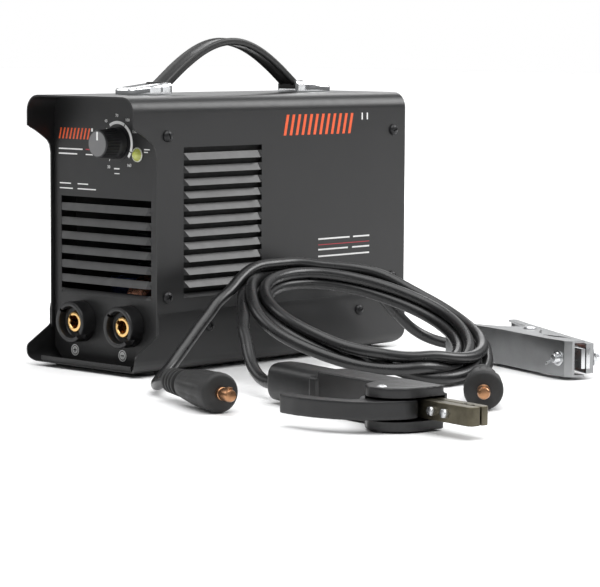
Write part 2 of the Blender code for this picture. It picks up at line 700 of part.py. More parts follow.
def coil_point(angle, radius, height=0.0):
    """A point of the tilted coil: angle in degrees in its plane, height above that plane."""
    centre_up = COIL_OUTER_R * math.sin(COIL_TILT) + COIL_THICK / 2 * math.cos(COIL_TILT) + GAP
    along = Vector((math.cos(COIL_TILT), 0, -math.sin(COIL_TILT)))
    normal = Vector((math.sin(COIL_TILT), 0, math.cos(COIL_TILT)))
    turn = math.radians(angle)
    flat = along * math.cos(turn) * radius + Vector((0, 1, 0)) * math.sin(turn) * radius
    return Vector((COIL_X, COIL_Y, centre_up)) + flat + normal * height


def smooth_path(points, spacing=14.0):
    """Catmull-Rom curve through the route's points, read at even spacing, in millimetres."""
    points = [Vector(p) for p in points]
    ends = [2 * points[0] - points[1]] + points + [2 * points[-1] - points[-2]]
    fine = []
    for a, b, c, d in zip(ends, ends[1:], ends[2:], ends[3:]):
        for i in range(20):
            t = i / 20
            fine.append(0.5 * (2 * b + (c - a) * t + (2 * a - 5 * b + 4 * c - d) * t * t
                               + (3 * b - a - 3 * c + d) * t ** 3))
    fine.append(points[-1])
    total = sum((q - p).length for p, q in zip(fine, fine[1:]))
    count = max(2, round(total / spacing))
    found, done, target = [fine[0]], 0.0, total / count
    for p, q in zip(fine, fine[1:]):
        step = (q - p).length
        while done + step >= target * len(found) and len(found) < count:
            found.append(p.lerp(q, (target * len(found) - done) / step))
        done += step
    return found + [fine[-1]]


def tube(name, route):
    curve = bpy.data.curves.new(name, "CURVE")
    curve.dimensions = "3D"
    curve.bevel_depth = LEAD_D / 2 * MM
    curve.bevel_resolution = 2
    curve.use_fill_caps = True
    path = smooth_path(route)
    spline = curve.splines.new("POLY")
    spline.points.add(len(path) - 1)
    for point, spot in zip(spline.points, path):
        point.co = (*(spot * MM), 1.0)
    obj = bpy.data.objects.new(name + "_curve", curve)
    bpy.data.collections[COLLECTION].objects.link(obj)
    return smooth(baked(obj, name, RUBBER), 60)


HOLDER_PLUG = ((288.0, -40.0), -50.0)
EARTH_PLUG = ((151.5, -208.0), -18.0)
HOLDER = ((213.5, -162.0), -10.0)
CLAMP = ((211.5, 110.0), -23.0)
CLAMP_MIDDLE_UP = 15.6
HOLDER_MIDDLE_UP = 15.0

HOLDER_PLUG_ROUTE = ((256.0, 4.5, 4.6), (266.5, -10.5, 5.6), (277.0, -25.0, 9.0), (287.6, -39.5, 13.4))
HOLDER_ROUTE = ((125.5, -120.5, 51.5), (145.5, -136.0, 43.0), (166.5, -148.5, 28.5), (189.5, -157.0, 17.5),
                (213.1, -161.9, 15.0))
EARTH_PLUG_ROUTE = ((90.0, -97.5, 73.5), (95.5, -122.0, 62.0), (100.5, -146.0, 44.0), (105.5, -168.0, 26.0),
                    (113.5, -188.0, 13.0), (129.5, -201.5, 9.2), (150.5, -207.7, 13.4))
CLAMP_ROUTE_FLOOR = ((85.0, 53.0, 75.0), (88.5, 75.0, 66.5), (88.0, 97.0, 50.0), (89.5, 118.0, 31.5),
                     (97.5, 136.0, 17.5), (110.0, 146.0, 11.0), (123.5, 149.0, 9.3), (137.5, 146.0, 11.5))
CLAMP_ROUTE_INSIDE = ((-52.0, 3.0), (-36.0, 9.5), (-18.0, 16.0), (0.0, 21.5), (16.0, 25.2), (32.0, 23.4),
                      (47.0, 17.2))


def tool_frame(place, heading, up):
    """Frame of a tool lying on its side: X from its rear to its tip, Z up."""
    turn = Euler((0, 0, math.radians(heading))).to_matrix().to_4x4()
    return Matrix.Translation(Vector((place[0], place[1], up)) * MM) @ turn


def lead_coil():
    half = COIL_THICK / 2
    profile = ((COIL_INNER_R + 3, half), (COIL_OUTER_R - 3, half), (COIL_OUTER_R, half - 3),
               (COIL_OUTER_R, 3 - half), (COIL_OUTER_R - 3, -half), (COIL_INNER_R + 3, -half),
               (COIL_INNER_R, 3 - half), (COIL_INNER_R, half - 3))
    normal = (math.sin(COIL_TILT), 0, math.cos(COIL_TILT))
    finish(turned("lead_coil", profile, coil_point(0, 0) * MM, normal, RUBBER, steps=36, ring=True))


def lead_plug(name, place, heading):
    """Bayonet plug lying on the floor: tapered rubber body with ribs, and its copper pin."""
    frame = tool_frame(place, heading, PLUG_R + GAP)
    direction = frame.to_3x3() @ Vector((1, 0, 0))
    body = [(0.0, 1.5), (8.0, 1.5)]
    for i in range(4):
        start = 3.0 + 5.0 * i
        body += [(9.4, start), (9.4, start + 2.8), (8.3, start + 3.6)]
    body += [(9.8, 25.0), (12.9, 50.0), (PLUG_R, 70.0), (PLUG_R, 74.0)]
    body += [(11.5, PLUG_LENGTH), (0.0, PLUG_LENGTH)]
    profile = [(r, h) for r, h in reversed(body)]
    finish(turned(f"{name}_body", profile, frame.translation, direction, RUBBER, steps=16))
    pin = ((0.0, 15.0), (3.6, 15.0), (4.4, 14.0), (4.4, 0.0), (0.0, 0.0))
    tip = frame @ Vector(((PLUG_LENGTH + GAP) * MM, 0, 0))
    pin_object = turned(f"{name}_pin", pin, tip, direction, COPPER, steps=16)
    key = block("key", (0, 0, 0), (1, 1, 1), None, cutter=True)
    key.matrix_world = frame @ Matrix.Translation(Vector((PLUG_LENGTH + 11.5, 0, 4.2)) * MM)
    for vert in key.data.vertices:
        vert.co = Vector((vert.co.x * 4.0, vert.co.y * 3.0, vert.co.z * 2.6))
    cut(pin_object, key, "UNION")
    finish(pin_object)


def flat_piece(name, loops, low, high, frame, look, cutter=False):
    """An outline drawn in a tool's plane, between two heights from the tool's middle plane."""
    place = frame @ Matrix.Translation(Vector((0, 0, (low + high) / 2)) * MM)
    return outline(name, loops, high - low, place, look, cutter)


def electrode_holder():
    """Holder lying on its side. Its plane is X along it and -Y towards its lever."""
    frame = tool_frame(*HOLDER, HOLDER_MIDDLE_UP)
    body = [(0, -14), (0, 14), (50, 12.6), (51, 14.2), (61, 14.2), (62, 12.6), (130, 11.4), (131, 13.8),
            (158, 12.4), (161, 10), (161.5, -13), (160, -21), (156, -28), (149, -34), (138, -36), (129, -31),
            (124, -26), (121, -17), (60, -16.4), (52, -17.6), (42, -16.2), (3, -15)]
    shell = flat_piece("holder_body", [body[::-1]], -14.0, 14.0, frame, BLACK_PLASTIC)
    bevel = shell.modifiers.new("edges", "BEVEL")
    bevel.width = 3.5 * MM
    bevel.segments = 2
    bevel.limit_method = "ANGLE"
    bevel.angle_limit = math.radians(60)
    slot = [(130.5, -50), (180, -50), (180, 8.2), (138, 8.2), (138, -8), (130.5, -14)]
    cut(shell, flat_piece("holder_slot", [slot], -7.6, 7.6, frame, None, cutter=True))
    finish(shell)
    fixed = [(139, 0.4), (206, 0.4), (206, 5.0), (203.5, 7.4), (139, 7.4)]
    smooth(flat_piece("holder_jaw_fixed", [fixed], -6.0, 6.0, frame, BRASS))
    moving = [(148, -9.2), (203.5, -9.2), (206, -7.0), (206, -0.9), (148, -0.9)]
    smooth(flat_piece("holder_jaw_moving", [moving], -6.0, 6.0, frame, BRASS))
    outer = [(159.5, -12.0), (160.0, -20.0), (157.5, -28.0), (150.0, -42.5), (141.0, -52.0), (131.0, -58.6),
             (118.0, -64.3), (104.4, -67.8), (90.0, -68.8), (87.0, -66.5), (86.0, -62.5), (88.5, -59.0)]
    inner = [(100.0, -57.8), (112.0, -54.6), (124.0, -50.0), (133.8, -45.0), (134.5, -34.0), (135.5, -24.0),
             (140.0, -15.0), (148.0, -10.0), (156.0, -9.8)]
    lever = flat_piece("holder_lever", [(outer + inner)[::-1]], -6.0, 6.0, frame, BLACK_PLASTIC)
    smooth(lever)


def clamp_cutter(name, points, shift, half, frame):
    """The inside of a pressed channel: its outline moved off its outer edge."""
    moved = [(u, v + shift) for u, v in points]
    return flat_piece(name, [moved], -half, half, frame, None, cutter=True)


def earth_clamp():
    """Clamp lying on its side; its plane is X along it. The origin is its pivot."""
    frame = tool_frame(*CLAMP, CLAMP_MIDDLE_UP)
    fixed = [(-80, 29.5), (-78, 31), (-74, 31), (-44, 25.6), (-7, 20.4), (36, 13.6), (83, 7.4), (84, 0.6),
             (62, 2.6), (50, 7.0), (36, 6.6), (20, 0), (8, -7), (-6, -7), (-14, 2), (-24, 13), (-44, 17.6),
             (-74, 23), (-80, 25)]
    moving = [(-80, 29.5), (-78, 31), (-74, 31), (-44, 28.2), (-2, 22.4), (60, 19.0), (80, 15.4), (84, 11.0),
              (84, 0.6), (62, 4.6), (50, 10.0), (36, 9.4), (20, 3.0), (9, -5.5), (-4, -7), (-13, -2),
              (-24, 11.5), (-44, 22.8), (-74, 25.4), (-80, 26.5)]
    moving = [(u, -v) for u, v in moving]
    jaw = flat_piece("clamp_jaw_fixed", [fixed[::-1]], -11.0, 11.0, frame, STEEL)
    cut(jaw, clamp_cutter("fixed_inside", fixed[::-1], -2.0, 9.4, frame))
    web_slot = [(-22, 9), (22, 9), (22, 32), (-22, 32)]
    cut(jaw, flat_piece("web_slot", [web_slot], -5.2, 5.2, frame, None, cutter=True))
    pin_hole = flat_piece("fixed_pin_hole", [circle((0, 0), 3.4, 16)], -20, 20, frame, None, cutter=True)
    cut(jaw, pin_hole)
    finish(jaw)
    jaw = flat_piece("clamp_jaw_moving", [moving], -13.2, 13.2, frame, STEEL)
    cut(jaw, clamp_cutter("moving_inside", moving, 2.0, 11.6, frame))
    cut(jaw, flat_piece("moving_pin_hole", [circle((0, 0), 3.4, 16)], -20, 20, frame, None, cutter=True))
    finish(jaw)
    place = frame @ Vector((0, 0, 0))
    pin = ((0.0, 15.0), (3.8, 15.0), (5.0, 13.9), (5.0, 13.6), (3.0, 13.6), (3.0, -13.6), (5.0, -13.6),
           (5.0, -13.9), (3.8, -15.0), (0.0, -15.0))
    finish(turned("clamp_pivot", pin, place, (0, 0, 1), STEEL, steps=16))
    coil = [(4.0, 8.0), (6.2, 8.0)]
    coil += [(6.6 if i % 2 else 6.1, 7.0 - 2.0 * i) for i in range(8)]
    coil += [(6.2, -8.0), (4.0, -8.0)]
    finish(turned("clamp_spring", coil, place, (0, 0, 1), STEEL, steps=16, ring=True))


def clamp_braid():
    """Copper braid bridging the two jaws' contacts, bowed back between them."""
    frame = tool_frame(*CLAMP, CLAMP_MIDDLE_UP)
    outer = arc((45.0, -1.6), 7.4, 60, 300, 10)
    inner = arc((45.0, -1.6), 5.2, 300, 60, 10)
    smooth(flat_piece("clamp_braid", [outer + inner], -5.0, 5.0, frame, COPPER))


def leads():
    lead_coil()
    lead_plug("holder_plug", *HOLDER_PLUG)
    lead_plug("earth_plug", *EARTH_PLUG)
    tube("holder_lead_plug_end", HOLDER_PLUG_ROUTE)
    tube("holder_lead_tool_end", HOLDER_ROUTE)
    tube("earth_lead_plug_end", EARTH_PLUG_ROUTE)
    frame = tool_frame(*CLAMP, CLAMP_MIDDLE_UP)
    inside = [frame @ Vector((u * MM, v * MM, 0)) / MM for u, v in CLAMP_ROUTE_INSIDE]
    tube("earth_lead_clamp_end", list(CLAMP_ROUTE_FLOOR) + inside)


def main():
    clear_scene()
    top_cover()
    base_tray()
    front_panel()
    rear_panel()
    case_screws()
    feet()
    handle_strap()
    handle_cap("handle_cap_front", -1)
    handle_cap("handle_cap_rear", 1)
    sockets()
    current_knob()
    potentiometer()
    indicator_lens()
    power_switch()
    fan()
    fan_guard()
    mains_gland()
    inner_parts()
    leads()
    electrode_holder()
    earth_clamp()
    clamp_braid()


main()
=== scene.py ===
"""Looks of the stick welding inverter and its lead set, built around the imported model.

Lengths are in millimetres and MM turns them into metres. x is measured from the machine's
middle, "back" from the tips of its front ears and "up" from the underside of its tray.
"""

from math import copysign, cos, pi, radians, sin, sqrt

import bmesh
import bpy
import numpy as np
from mathutils import Euler, Matrix, Vector


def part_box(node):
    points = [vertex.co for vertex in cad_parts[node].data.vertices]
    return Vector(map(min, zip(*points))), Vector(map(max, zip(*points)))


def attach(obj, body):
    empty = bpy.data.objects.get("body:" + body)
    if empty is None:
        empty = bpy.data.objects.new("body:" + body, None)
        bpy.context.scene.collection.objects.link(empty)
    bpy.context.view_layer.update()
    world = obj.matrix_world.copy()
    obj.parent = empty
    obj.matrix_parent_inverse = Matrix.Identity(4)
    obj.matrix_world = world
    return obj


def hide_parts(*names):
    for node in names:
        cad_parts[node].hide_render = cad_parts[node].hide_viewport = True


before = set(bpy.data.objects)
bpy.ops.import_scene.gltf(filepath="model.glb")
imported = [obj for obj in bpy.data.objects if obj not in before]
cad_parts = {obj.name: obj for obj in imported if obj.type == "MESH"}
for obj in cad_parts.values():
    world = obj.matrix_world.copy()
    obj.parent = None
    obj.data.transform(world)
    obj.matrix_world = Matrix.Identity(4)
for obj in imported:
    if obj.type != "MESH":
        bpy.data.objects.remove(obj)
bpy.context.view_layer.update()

MM = 0.001
FRONT_Y = -154
FOOT = 3

# Camera and light
CAMERA_AT = (1430.6, -1444, 249.1)
CAMERA_TARGET = (133.6, -60, 61.4)
CAMERA_ROLL = 0.29  # degrees
LENS = 157.7
AMBIENT = (0.16, 0.50)  # strength of the light from all round, at the horizon and overhead
OVERHEAD = 2.9  # strength of the soft light from above

# Leads, as in the CAD model
LEAD_D = 8.5
COIL_R = (69, 102)
COIL_THICK = 18.6
COIL_TILT = radians(20)
COIL_X = 159.5
COIL_Y = -19
PLUG_R = 13.5
# Plugs, holder and clamp: place of the rear end on the floor, and heading in degrees
HOLDER_PLUG = ((288, -40), -50)
EARTH_PLUG = ((151.5, -208), -18)
HOLDER = ((213.5, -162), -10)
CLAMP = ((211.5, 110), -23)
HOLDER_UP = 15
CLAMP_UP = 15.6
HOLDER_PLUG_ROUTE = ((256, 4.5, 4.6), (266.5, -10.5, 5.6), (277, -25, 9), (287.6, -39.5, 13.4))
HOLDER_ROUTE = ((125.5, -120.5, 51.5), (145.5, -136, 43), (166.5, -148.5, 28.5), (189.5, -157, 17.5),
                (213.1, -161.9, 15))
EARTH_PLUG_ROUTE = ((90, -97.5, 73.5), (95.5, -122, 62), (100.5, -146, 44), (105.5, -168, 26),
                    (113.5, -188, 13), (129.5, -201.5, 9.2), (150.5, -207.7, 13.4))
CLAMP_ROUTE_FLOOR = ((85, 53, 75), (88.5, 75, 66.5), (88, 97, 50), (89.5, 118, 31.5),
                     (97.5, 136, 17.5), (110, 146, 11), (123.5, 149, 9.3), (137.5, 146, 11.5))
CLAMP_ROUTE_INSIDE = ((-52, 3), (-36, 9.5), (-18, 16), (0, 21.5), (16, 25.2), (32, 23.4),
                      (47, 17.2))
HOLDER_TURNS = (40, 943.6)  # degrees round the coil
EARTH_TURNS = (165, 920)
CASE_WALL = 60.6
LEAD_STEP = 5  # between the points of a lead
TIGHTEST_BEND = 47  # radius that the tight bends are eased towards
HELD_STEPS = ((25, 4), (27, 4))  # points held at the tool and at the plug, for each lead
SETTLE_ROUNDS = 420
SAG = 0.045  # a lead's fall in each round
IRON_ROUNDS = 400
IRON_BACK = 8  # held points that the last ironing may move

SIDES = (("right", 1), ("left", -1))

# Printed bars: left, right, bottom and top, in the plane of the panel or the wall
FRONT_LINES = (
    (-51.5, -25, 159, 160), (-51.5, -31, 155.4, 156.4), (-15.4, -13.6, 173, 175.4),
    (-21.5, -10.5, 155.4, 156.2), (-50.5, -38, 133.3, 134.1), (-50.5, -36, 129.6, 130.4),
    (-30.5, -19, 133.3, 134.1), (-30.5, -10.5, 129.6, 130.4), (41.5, 47.5, 161.2, 161.9),
    (41.5, 45.5, 159.2, 159.9), (9.4, 15.2, 146, 147), (9.8, 15.2, 142.6, 143.3),
)
SIDE_LINES = (
    (244, 245.4, 179.4, 184.7), (250, 251.4, 179.4, 184.7), (195, 231, 87.6, 88.8),
    (235, 254, 87.6, 88.8), (195, 229, 79.4, 80.6), (234, 254, 79.4, 80.6),
    (195, 254, 74.2, 75.4),
)

# CAD nodes that stay in view: look, edge rounding, the least angle that is rounded, and the nodes
FINISHES = (
    ("case_paint", 0.35, 20, "top_cover", "base_tray"),
    ("panel_paint", 0.3, 20, "front_panel", "rear_panel"),
    ("rubber", 0.6, 30, "rubber_foot_1", "rubber_foot_2", "rubber_foot_3", "rubber_foot_4"),
    ("plastic", 0.6, 30, "fan_frame", "switch_housing"),
    ("plastic", 0.3, 30, "fan_rotor"),
    ("guard", 0.3, 30, "fan_guard"),
    ("gloss_plastic", 0.7, 30, "switch_rocker"),
    ("lens", 0.2, 30, "indicator_lens"),
    ("board", 0, 30, "main_board", "control_board"),
    ("aluminium", 0, 30, "heatsink_left", "heatsink_right"),
    ("ferrite", 0.6, 30, "transformer_core"),
    ("copper", 0.8, 30, "transformer_winding", "output_choke"),
    ("sleeve", 0.6, 30, "smoothing_capacitor_1", "smoothing_capacitor_2"),
    ("pressed_steel", 0.4, 30, "potentiometer"),
    ("aluminium", 0.2, 30, "potentiometer_shaft"),
    ("pressed_steel", 0.45, 35, "clamp_jaw_fixed", "clamp_jaw_moving"),
    ("zinc", 0.3, 30, "clamp_pivot"),
)


def at(x, back, up):
    """A point of the machine, in metres."""
    return Vector((x, FRONT_Y + back, FOOT + up)) * MM


def middle(node):
    low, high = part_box(node)
    return (low + high) / 2


def placed(matrix, x, y, z):
    """A point given in millimetres in the frame of `matrix`, in metres."""
    return matrix @ (Vector((x, y, z)) * MM)


def spun(matrix, degrees):
    """The frame turned about its own Z."""
    return matrix @ Matrix.Rotation(radians(degrees), 4, "Z")


def linked(name, data):
    """A new object in the scene."""
    obj = bpy.data.objects.new(name, data)
    bpy.context.scene.collection.objects.link(obj)
    return obj


STANDING = Matrix(((1, 0, 0), (0, 0, -1), (0, 1, 0))).to_4x4()  # X to the right, Y up, Z towards the front
LENGTHWISE = Matrix(((0, 0, 1), (0, 1, 0), (-1, 0, 0))).to_4x4()  # Z from a tool's rear to its tip
FRONT_PLANE = Matrix.Translation(at(0, 26.0, 0)) @ STANDING


# ---- camera, light and floor

def camera():
    """Long lens at the photograph's viewing angle."""
    data = bpy.data.cameras.new("camera")
    data.sensor_width = 36.0
    data.lens = LENS
    data.clip_start, data.clip_end = 0.05, 50.0
    cam = linked("camera", data)
    cam.location = Vector(CAMERA_AT) * MM
    aim = (Vector(CAMERA_TARGET) - Vector(CAMERA_AT)).to_track_quat("-Z", "Y")
    cam.rotation_mode = "QUATERNION"
    cam.rotation_quaternion = aim @ Euler((0, 0, radians(CAMERA_ROLL))).to_quaternion()
    bpy.context.scene.camera = cam


def soft_light(name, place, size, power):
    """A broad lamp that points at the machine."""
    data = bpy.data.lights.new(name, "AREA")
    data.shape = "RECTANGLE"
    data.size, data.size_y = size
    data.energy = power
    lamp = linked(name, data)
    lamp.location = place
    lamp.rotation_euler = (Vector((0, 0, 0.1)) - Vector(place)).to_track_quat("-Z", "Y").to_euler()


def surroundings():
    """White for the camera, and a soft light from all round that grows towards the top."""
    world = bpy.data.worlds.new("studio")
    bpy.context.scene.world = world
    world.use_nodes = True
    tree = world.node_tree
    link = tree.links.new
    sky = tree.nodes["Background"]
    sky.inputs["Color"].default_value = (1.0, 1.0, 1.0, 1.0)
    sky.inputs["Strength"].default_value = 1.0
    fill = tree.nodes.new("ShaderNodeBackground")
    fill.inputs["Color"].default_value = (0.98, 0.99, 1.0, 1.0)
    spot = tree.nodes.new("ShaderNodeTexCoord")
    parts = tree.nodes.new("ShaderNodeSeparateXYZ")
    level = tree.nodes.new("ShaderNodeMapRange")
    link(spot.outputs["Generated"], parts.inputs[0])
    link(parts.outputs["Z"], level.inputs["Value"])
    for socket, value in zip(("From Min", "From Max", "To Min", "To Max"), (0.05, 0.6, *AMBIENT)):
        level.inputs[socket].default_value = value
    link(level.outputs[0], fill.inputs["Strength"])
    ray = tree.nodes.new("ShaderNodeLightPath")
    either = tree.nodes.new("ShaderNodeMixShader")
    link(ray.outputs["Is Camera Ray"], either.inputs[0])
    link(fill.outputs["Background"], either.inputs[1])
    link(sky.outputs["Background"], either.inputs[2])
    link(either.outputs["Shader"], tree.nodes["World Output"].inputs["Surface"])


def studio():
    """White studio, lit mostly from above and from the front left, with a pale floor."""
    surroundings()
    overhead = bpy.data.lights.new("overhead", "SUN")
    overhead.energy = OVERHEAD
    overhead.angle = radians(70)
    linked("overhead", overhead).rotation_euler = (radians(8), radians(14), 0)
    soft_light("front", (-1.75, -1.05, 1.45), (1.2, 1.0), 9)
    soft_light("side", (1.0, 1.6, 1.38), (1.2, 1.0), 24)
    soft_light("back", (-1.6, 1.8, 1.4), (1.6, 1.2), 14)
    bpy.context.scene.view_settings.view_transform = "Standard"
    bm = bmesh.new()
    bmesh.ops.create_grid(bm, x_segments=1, y_segments=1, size=12.0)
    floor = new_mesh("floor", bm)
    pale = bpy.data.materials.new("floor")
    pale.use_nodes = True
    shader = pale.node_tree.nodes["Principled BSDF"]
    shader.inputs["Base Color"].default_value = (0.93, 0.93, 0.93, 1.0)
    shader.inputs["Roughness"].default_value = 0.7
    shader.inputs["Specular IOR Level"].default_value = 0.2
    floor.data.materials.append(pale)


# ---- leads

def coil_point(angle, radius, height=0.0):
    """A point of the tilted coil: angle in degrees in its plane, height above that plane."""
    centre_up = COIL_R[1] * sin(COIL_TILT) + COIL_THICK / 2 * cos(COIL_TILT) + 0.3
    along = Vector((cos(COIL_TILT), 0, -sin(COIL_TILT)))
    normal = Vector((sin(COIL_TILT), 0, cos(COIL_TILT)))
    turn = radians(angle)
    flat = along * cos(turn) * radius + Vector((0, 1, 0)) * sin(turn) * radius
    return Vector((COIL_X, COIL_Y, centre_up)) + flat + normal * height


def even(points):
    """Catmull-Rom curve through the points, read at even steps."""
    points = [Vector(p) for p in points]
    ends = [2 * points[0] - points[1]] + points + [2 * points[-1] - points[-2]]
    fine = []
    for a, b, c, d in zip(ends, ends[1:], ends[2:], ends[3:]):
        for i in range(12):
            t = i / 12
            fine.append(0.5 * (2 * b + (c - a) * t + (2 * a - 5 * b + 4 * c - d) * t * t
                               + (3 * b - a - 3 * c + d) * t ** 3))
    fine = np.array(fine + [points[-1]])
    steps = np.linalg.norm(np.diff(fine, axis=0), axis=1)
    along = np.concatenate([[0.0], np.cumsum(steps)])
    wanted = np.linspace(0.0, along[-1], round(along[-1] / LEAD_STEP) + 1)
    return np.stack([np.interp(wanted, along, fine[:, k]) for k in range(3)], axis=1)


def winding(turns, inward, level):
    """First guess of one lead's turns: it drifts inwards and out again at one level."""
    start, end = turns
    count = round((end - start) / 20.0)
    found = []
    for i in range(1, count):
        share = i / count
        drift = sin(pi * share) ** 0.8
        radius = COIL_R[1] - 5.0 - inward * drift
        found.append(coil_point(start + (end - start) * share, radius, level))
    return found


def smoothed(shift, held):
    """Evens out the shifts along the leads. Points that are held keep a shift of zero."""
    near = (np.roll(shift, 1, axis=0) + np.roll(shift, -1, axis=0)) / 2
    shift = shift * 0.4 + near * 0.6
    shift[held] = 0.0
    return shift


def too_tight(bend):
    """The share by which each bend is past the tightest one."""
    sharp = np.linalg.norm(bend, axis=1) + 1e-6
    return np.clip(1.0 - LEAD_STEP ** 2 / TIGHTEST_BEND / sharp, 0.0, None)[:, None]


def ironed(path, first, last):
    """Opens out the bends that are still too tight, away from the ends that are held."""
    loose = slice(first, len(path) - last)
    for _ in range(IRON_ROUNDS):
        bend = np.zeros_like(path)
        bend[1:-1] = path[2:] + path[:-2] - 2 * path[1:-1]
        path[loose] += (0.4 * bend * too_tight(bend))[loose]
    return path


def settle(paths):
    """Relaxes the leads: turns lie beside and over each other, and no bend is too tight."""
    base = np.concatenate(paths)
    owner = np.concatenate([np.full(len(p), k) for k, p in enumerate(paths)])
    order = np.concatenate([np.arange(len(p)) for p in paths])
    held = np.concatenate([(np.arange(len(p)) < first) | (np.arange(len(p)) >= len(p) - last)
                           for p, (first, last) in zip(paths, HELD_STEPS)])
    related = (owner[:, None] == owner[None, :]) & (abs(order[:, None] - order[None, :]) < 12)
    normal = np.array((sin(COIL_TILT), 0, cos(COIL_TILT)))
    centre = np.array(coil_point(0, 0))
    apart = LEAD_D + 0.25
    limit = COIL_THICK / 2 - LEAD_D / 2 + 0.4
    shift = np.zeros_like(base)
    for _ in range(SETTLE_ROUNDS):
        now = base + shift
        gap = now[:, None, :] - now[None, :, :]
        distance = np.linalg.norm(gap, axis=2) + 1e-6
        close = np.where(related, 0.0, np.clip(apart - distance, 0.0, None))
        push = (gap / distance[..., None] * close[..., None]).sum(axis=1) * 0.45
        height = (now - centre) @ normal
        flat = now - centre - np.outer(height, normal)
        radius = np.linalg.norm(flat, axis=1)
        outward = flat / radius[:, None]
        over = height - np.clip(height, -limit, limit)
        beyond = radius - np.clip(radius, COIL_R[0] + LEAD_D / 2, COIL_R[1] - LEAD_D / 2)
        coiled = np.clip((COIL_R[1] + 2.0 - radius) / 8.0, 0.0, 1.0)
        push -= 0.12 * coiled[:, None] * (np.outer(over, normal) + beyond[:, None] * outward)
        push[:, 2] += np.clip(LEAD_D / 2 + 0.35 - now[:, 2], 0.0, None) * 0.5
        push[:, 2] -= SAG
        push[:, 0] += np.clip(CASE_WALL + LEAD_D / 2 - now[:, 0], 0.0, None) * 0.5
        bend = np.roll(now, 1, axis=0) + np.roll(now, -1, axis=0) - 2 * now
        push += (0.45 * too_tight(bend) + 0.03) * bend
        shift = smoothed(shift + push, held)
    settled, done = [], 0
    for p, (first, last) in zip(paths, HELD_STEPS):
        settled.append(ironed((base + shift)[done:done + len(p)], first - IRON_BACK, last - 3))
        done += len(p)
    return settled


def in_tool(place, heading, up):
    """Frame of a tool lying on its side: X from its rear to its tip, Z up, in millimetres."""
    turn = Euler((0, 0, radians(heading))).to_matrix().to_4x4()
    return Matrix.Translation(Vector((*place, up))) @ turn


def lead_paths():
    """Centrelines of the two leads, in millimetres, from each tool to its plug."""
    holder, clamp = in_tool(*HOLDER, HOLDER_UP), in_tool(*CLAMP, CLAMP_UP)
    holder_lead = [holder @ Vector((u, 0, 0)) for u in (120.0, 80.0, 40.0)]
    holder_lead += [*HOLDER_ROUTE[::-1], *winding(HOLDER_TURNS, 22.0, -4.65)[::-1], *HOLDER_PLUG_ROUTE]
    earth_lead = [clamp @ Vector((u, v, 0)) for u, v in CLAMP_ROUTE_INSIDE[::-1]]
    earth_lead += [*CLAMP_ROUTE_FLOOR[::-1], *winding(EARTH_TURNS, 19.0, 4.65), *EARTH_PLUG_ROUTE]
    return settle([even(holder_lead), even(earth_lead)])


def lead(name, path, *nodes):
    """One cable, as a round tube along its path, in place of the CAD's tubes."""
    curve = bpy.data.curves.new(name, "CURVE")
    curve.dimensions = "3D"
    curve.bevel_depth = LEAD_D / 2 * MM
    curve.bevel_resolution = 6
    curve.use_fill_caps = True
    spline = curve.splines.new("POLY")
    spline.points.add(len(path) - 1)
    for point, spot in zip(spline.points, path):
        point.co = (*(spot * MM), 1.0)
    spline.use_smooth = True
    obj = keep(linked(name, curve), "cable")
    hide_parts(*nodes)
    return obj


# ---- materials

def surface(name, colour, roughness, metallic=0.0, grain=0.0, grit=900.0, drift=0.12, spread=18.0,
            gloss=0.08, streak=(1, 1, 1), coat=0.0):
    """A procedural finish: colour and gloss drift over the surface, and a fine grain stands in relief."""
    made = bpy.data.materials.new(f"{name}_look")
    made.use_nodes = True
    tree = made.node_tree
    link = tree.links.new
    shader = tree.nodes["Principled BSDF"]
    shader.inputs["Metallic"].default_value = metallic
    shader.inputs["Coat Weight"].default_value = coat
    where = tree.nodes.new("ShaderNodeTexCoord")
    stretch = tree.nodes.new("ShaderNodeMapping")
    stretch.inputs["Scale"].default_value = streak
    link(where.outputs["Object"], stretch.inputs["Vector"])

    def noise(scale, detail, rough=0.55):
        found = tree.nodes.new("ShaderNodeTexNoise")
        found.inputs["Scale"].default_value = scale
        found.inputs["Detail"].default_value = detail
        found.inputs["Roughness"].default_value = rough
        link(stretch.outputs["Vector"], found.inputs["Vector"])
        return found.outputs["Fac"]

    def ramp(source, low, high):
        found = tree.nodes.new("ShaderNodeMapRange")
        for socket, value in zip(("From Min", "From Max", "To Min", "To Max"), (0.3, 0.7, low, high)):
            found.inputs[socket].default_value = value
        link(source, found.inputs["Value"])
        return found.outputs["Result"]

    cloud = noise(spread, 6.0)
    mix = tree.nodes.new("ShaderNodeMix")
    mix.data_type = "RGBA"
    mix.inputs[6].default_value = (*(c * (1 - drift) for c in colour), 1.0)
    mix.inputs[7].default_value = (*(min(1.0, c * (1 + drift)) for c in colour), 1.0)
    link(ramp(cloud, 0.0, 1.0), mix.inputs[0])
    link(mix.outputs[2], shader.inputs["Base Color"])
    wear = noise(spread * 7.0, 8.0, 0.7)
    low, high = roughness - gloss, roughness + gloss
    link(ramp(wear, max(0.04, low), min(1.0, high)), shader.inputs["Roughness"])
    if grain:
        bump = tree.nodes.new("ShaderNodeBump")
        bump.inputs["Strength"].default_value = grain
        bump.inputs["Distance"].default_value = 0.0002
        link(noise(grit, 3.0), bump.inputs["Height"])
        link(bump.outputs["Normal"], shader.inputs["Normal"])
    LOOK[name] = made


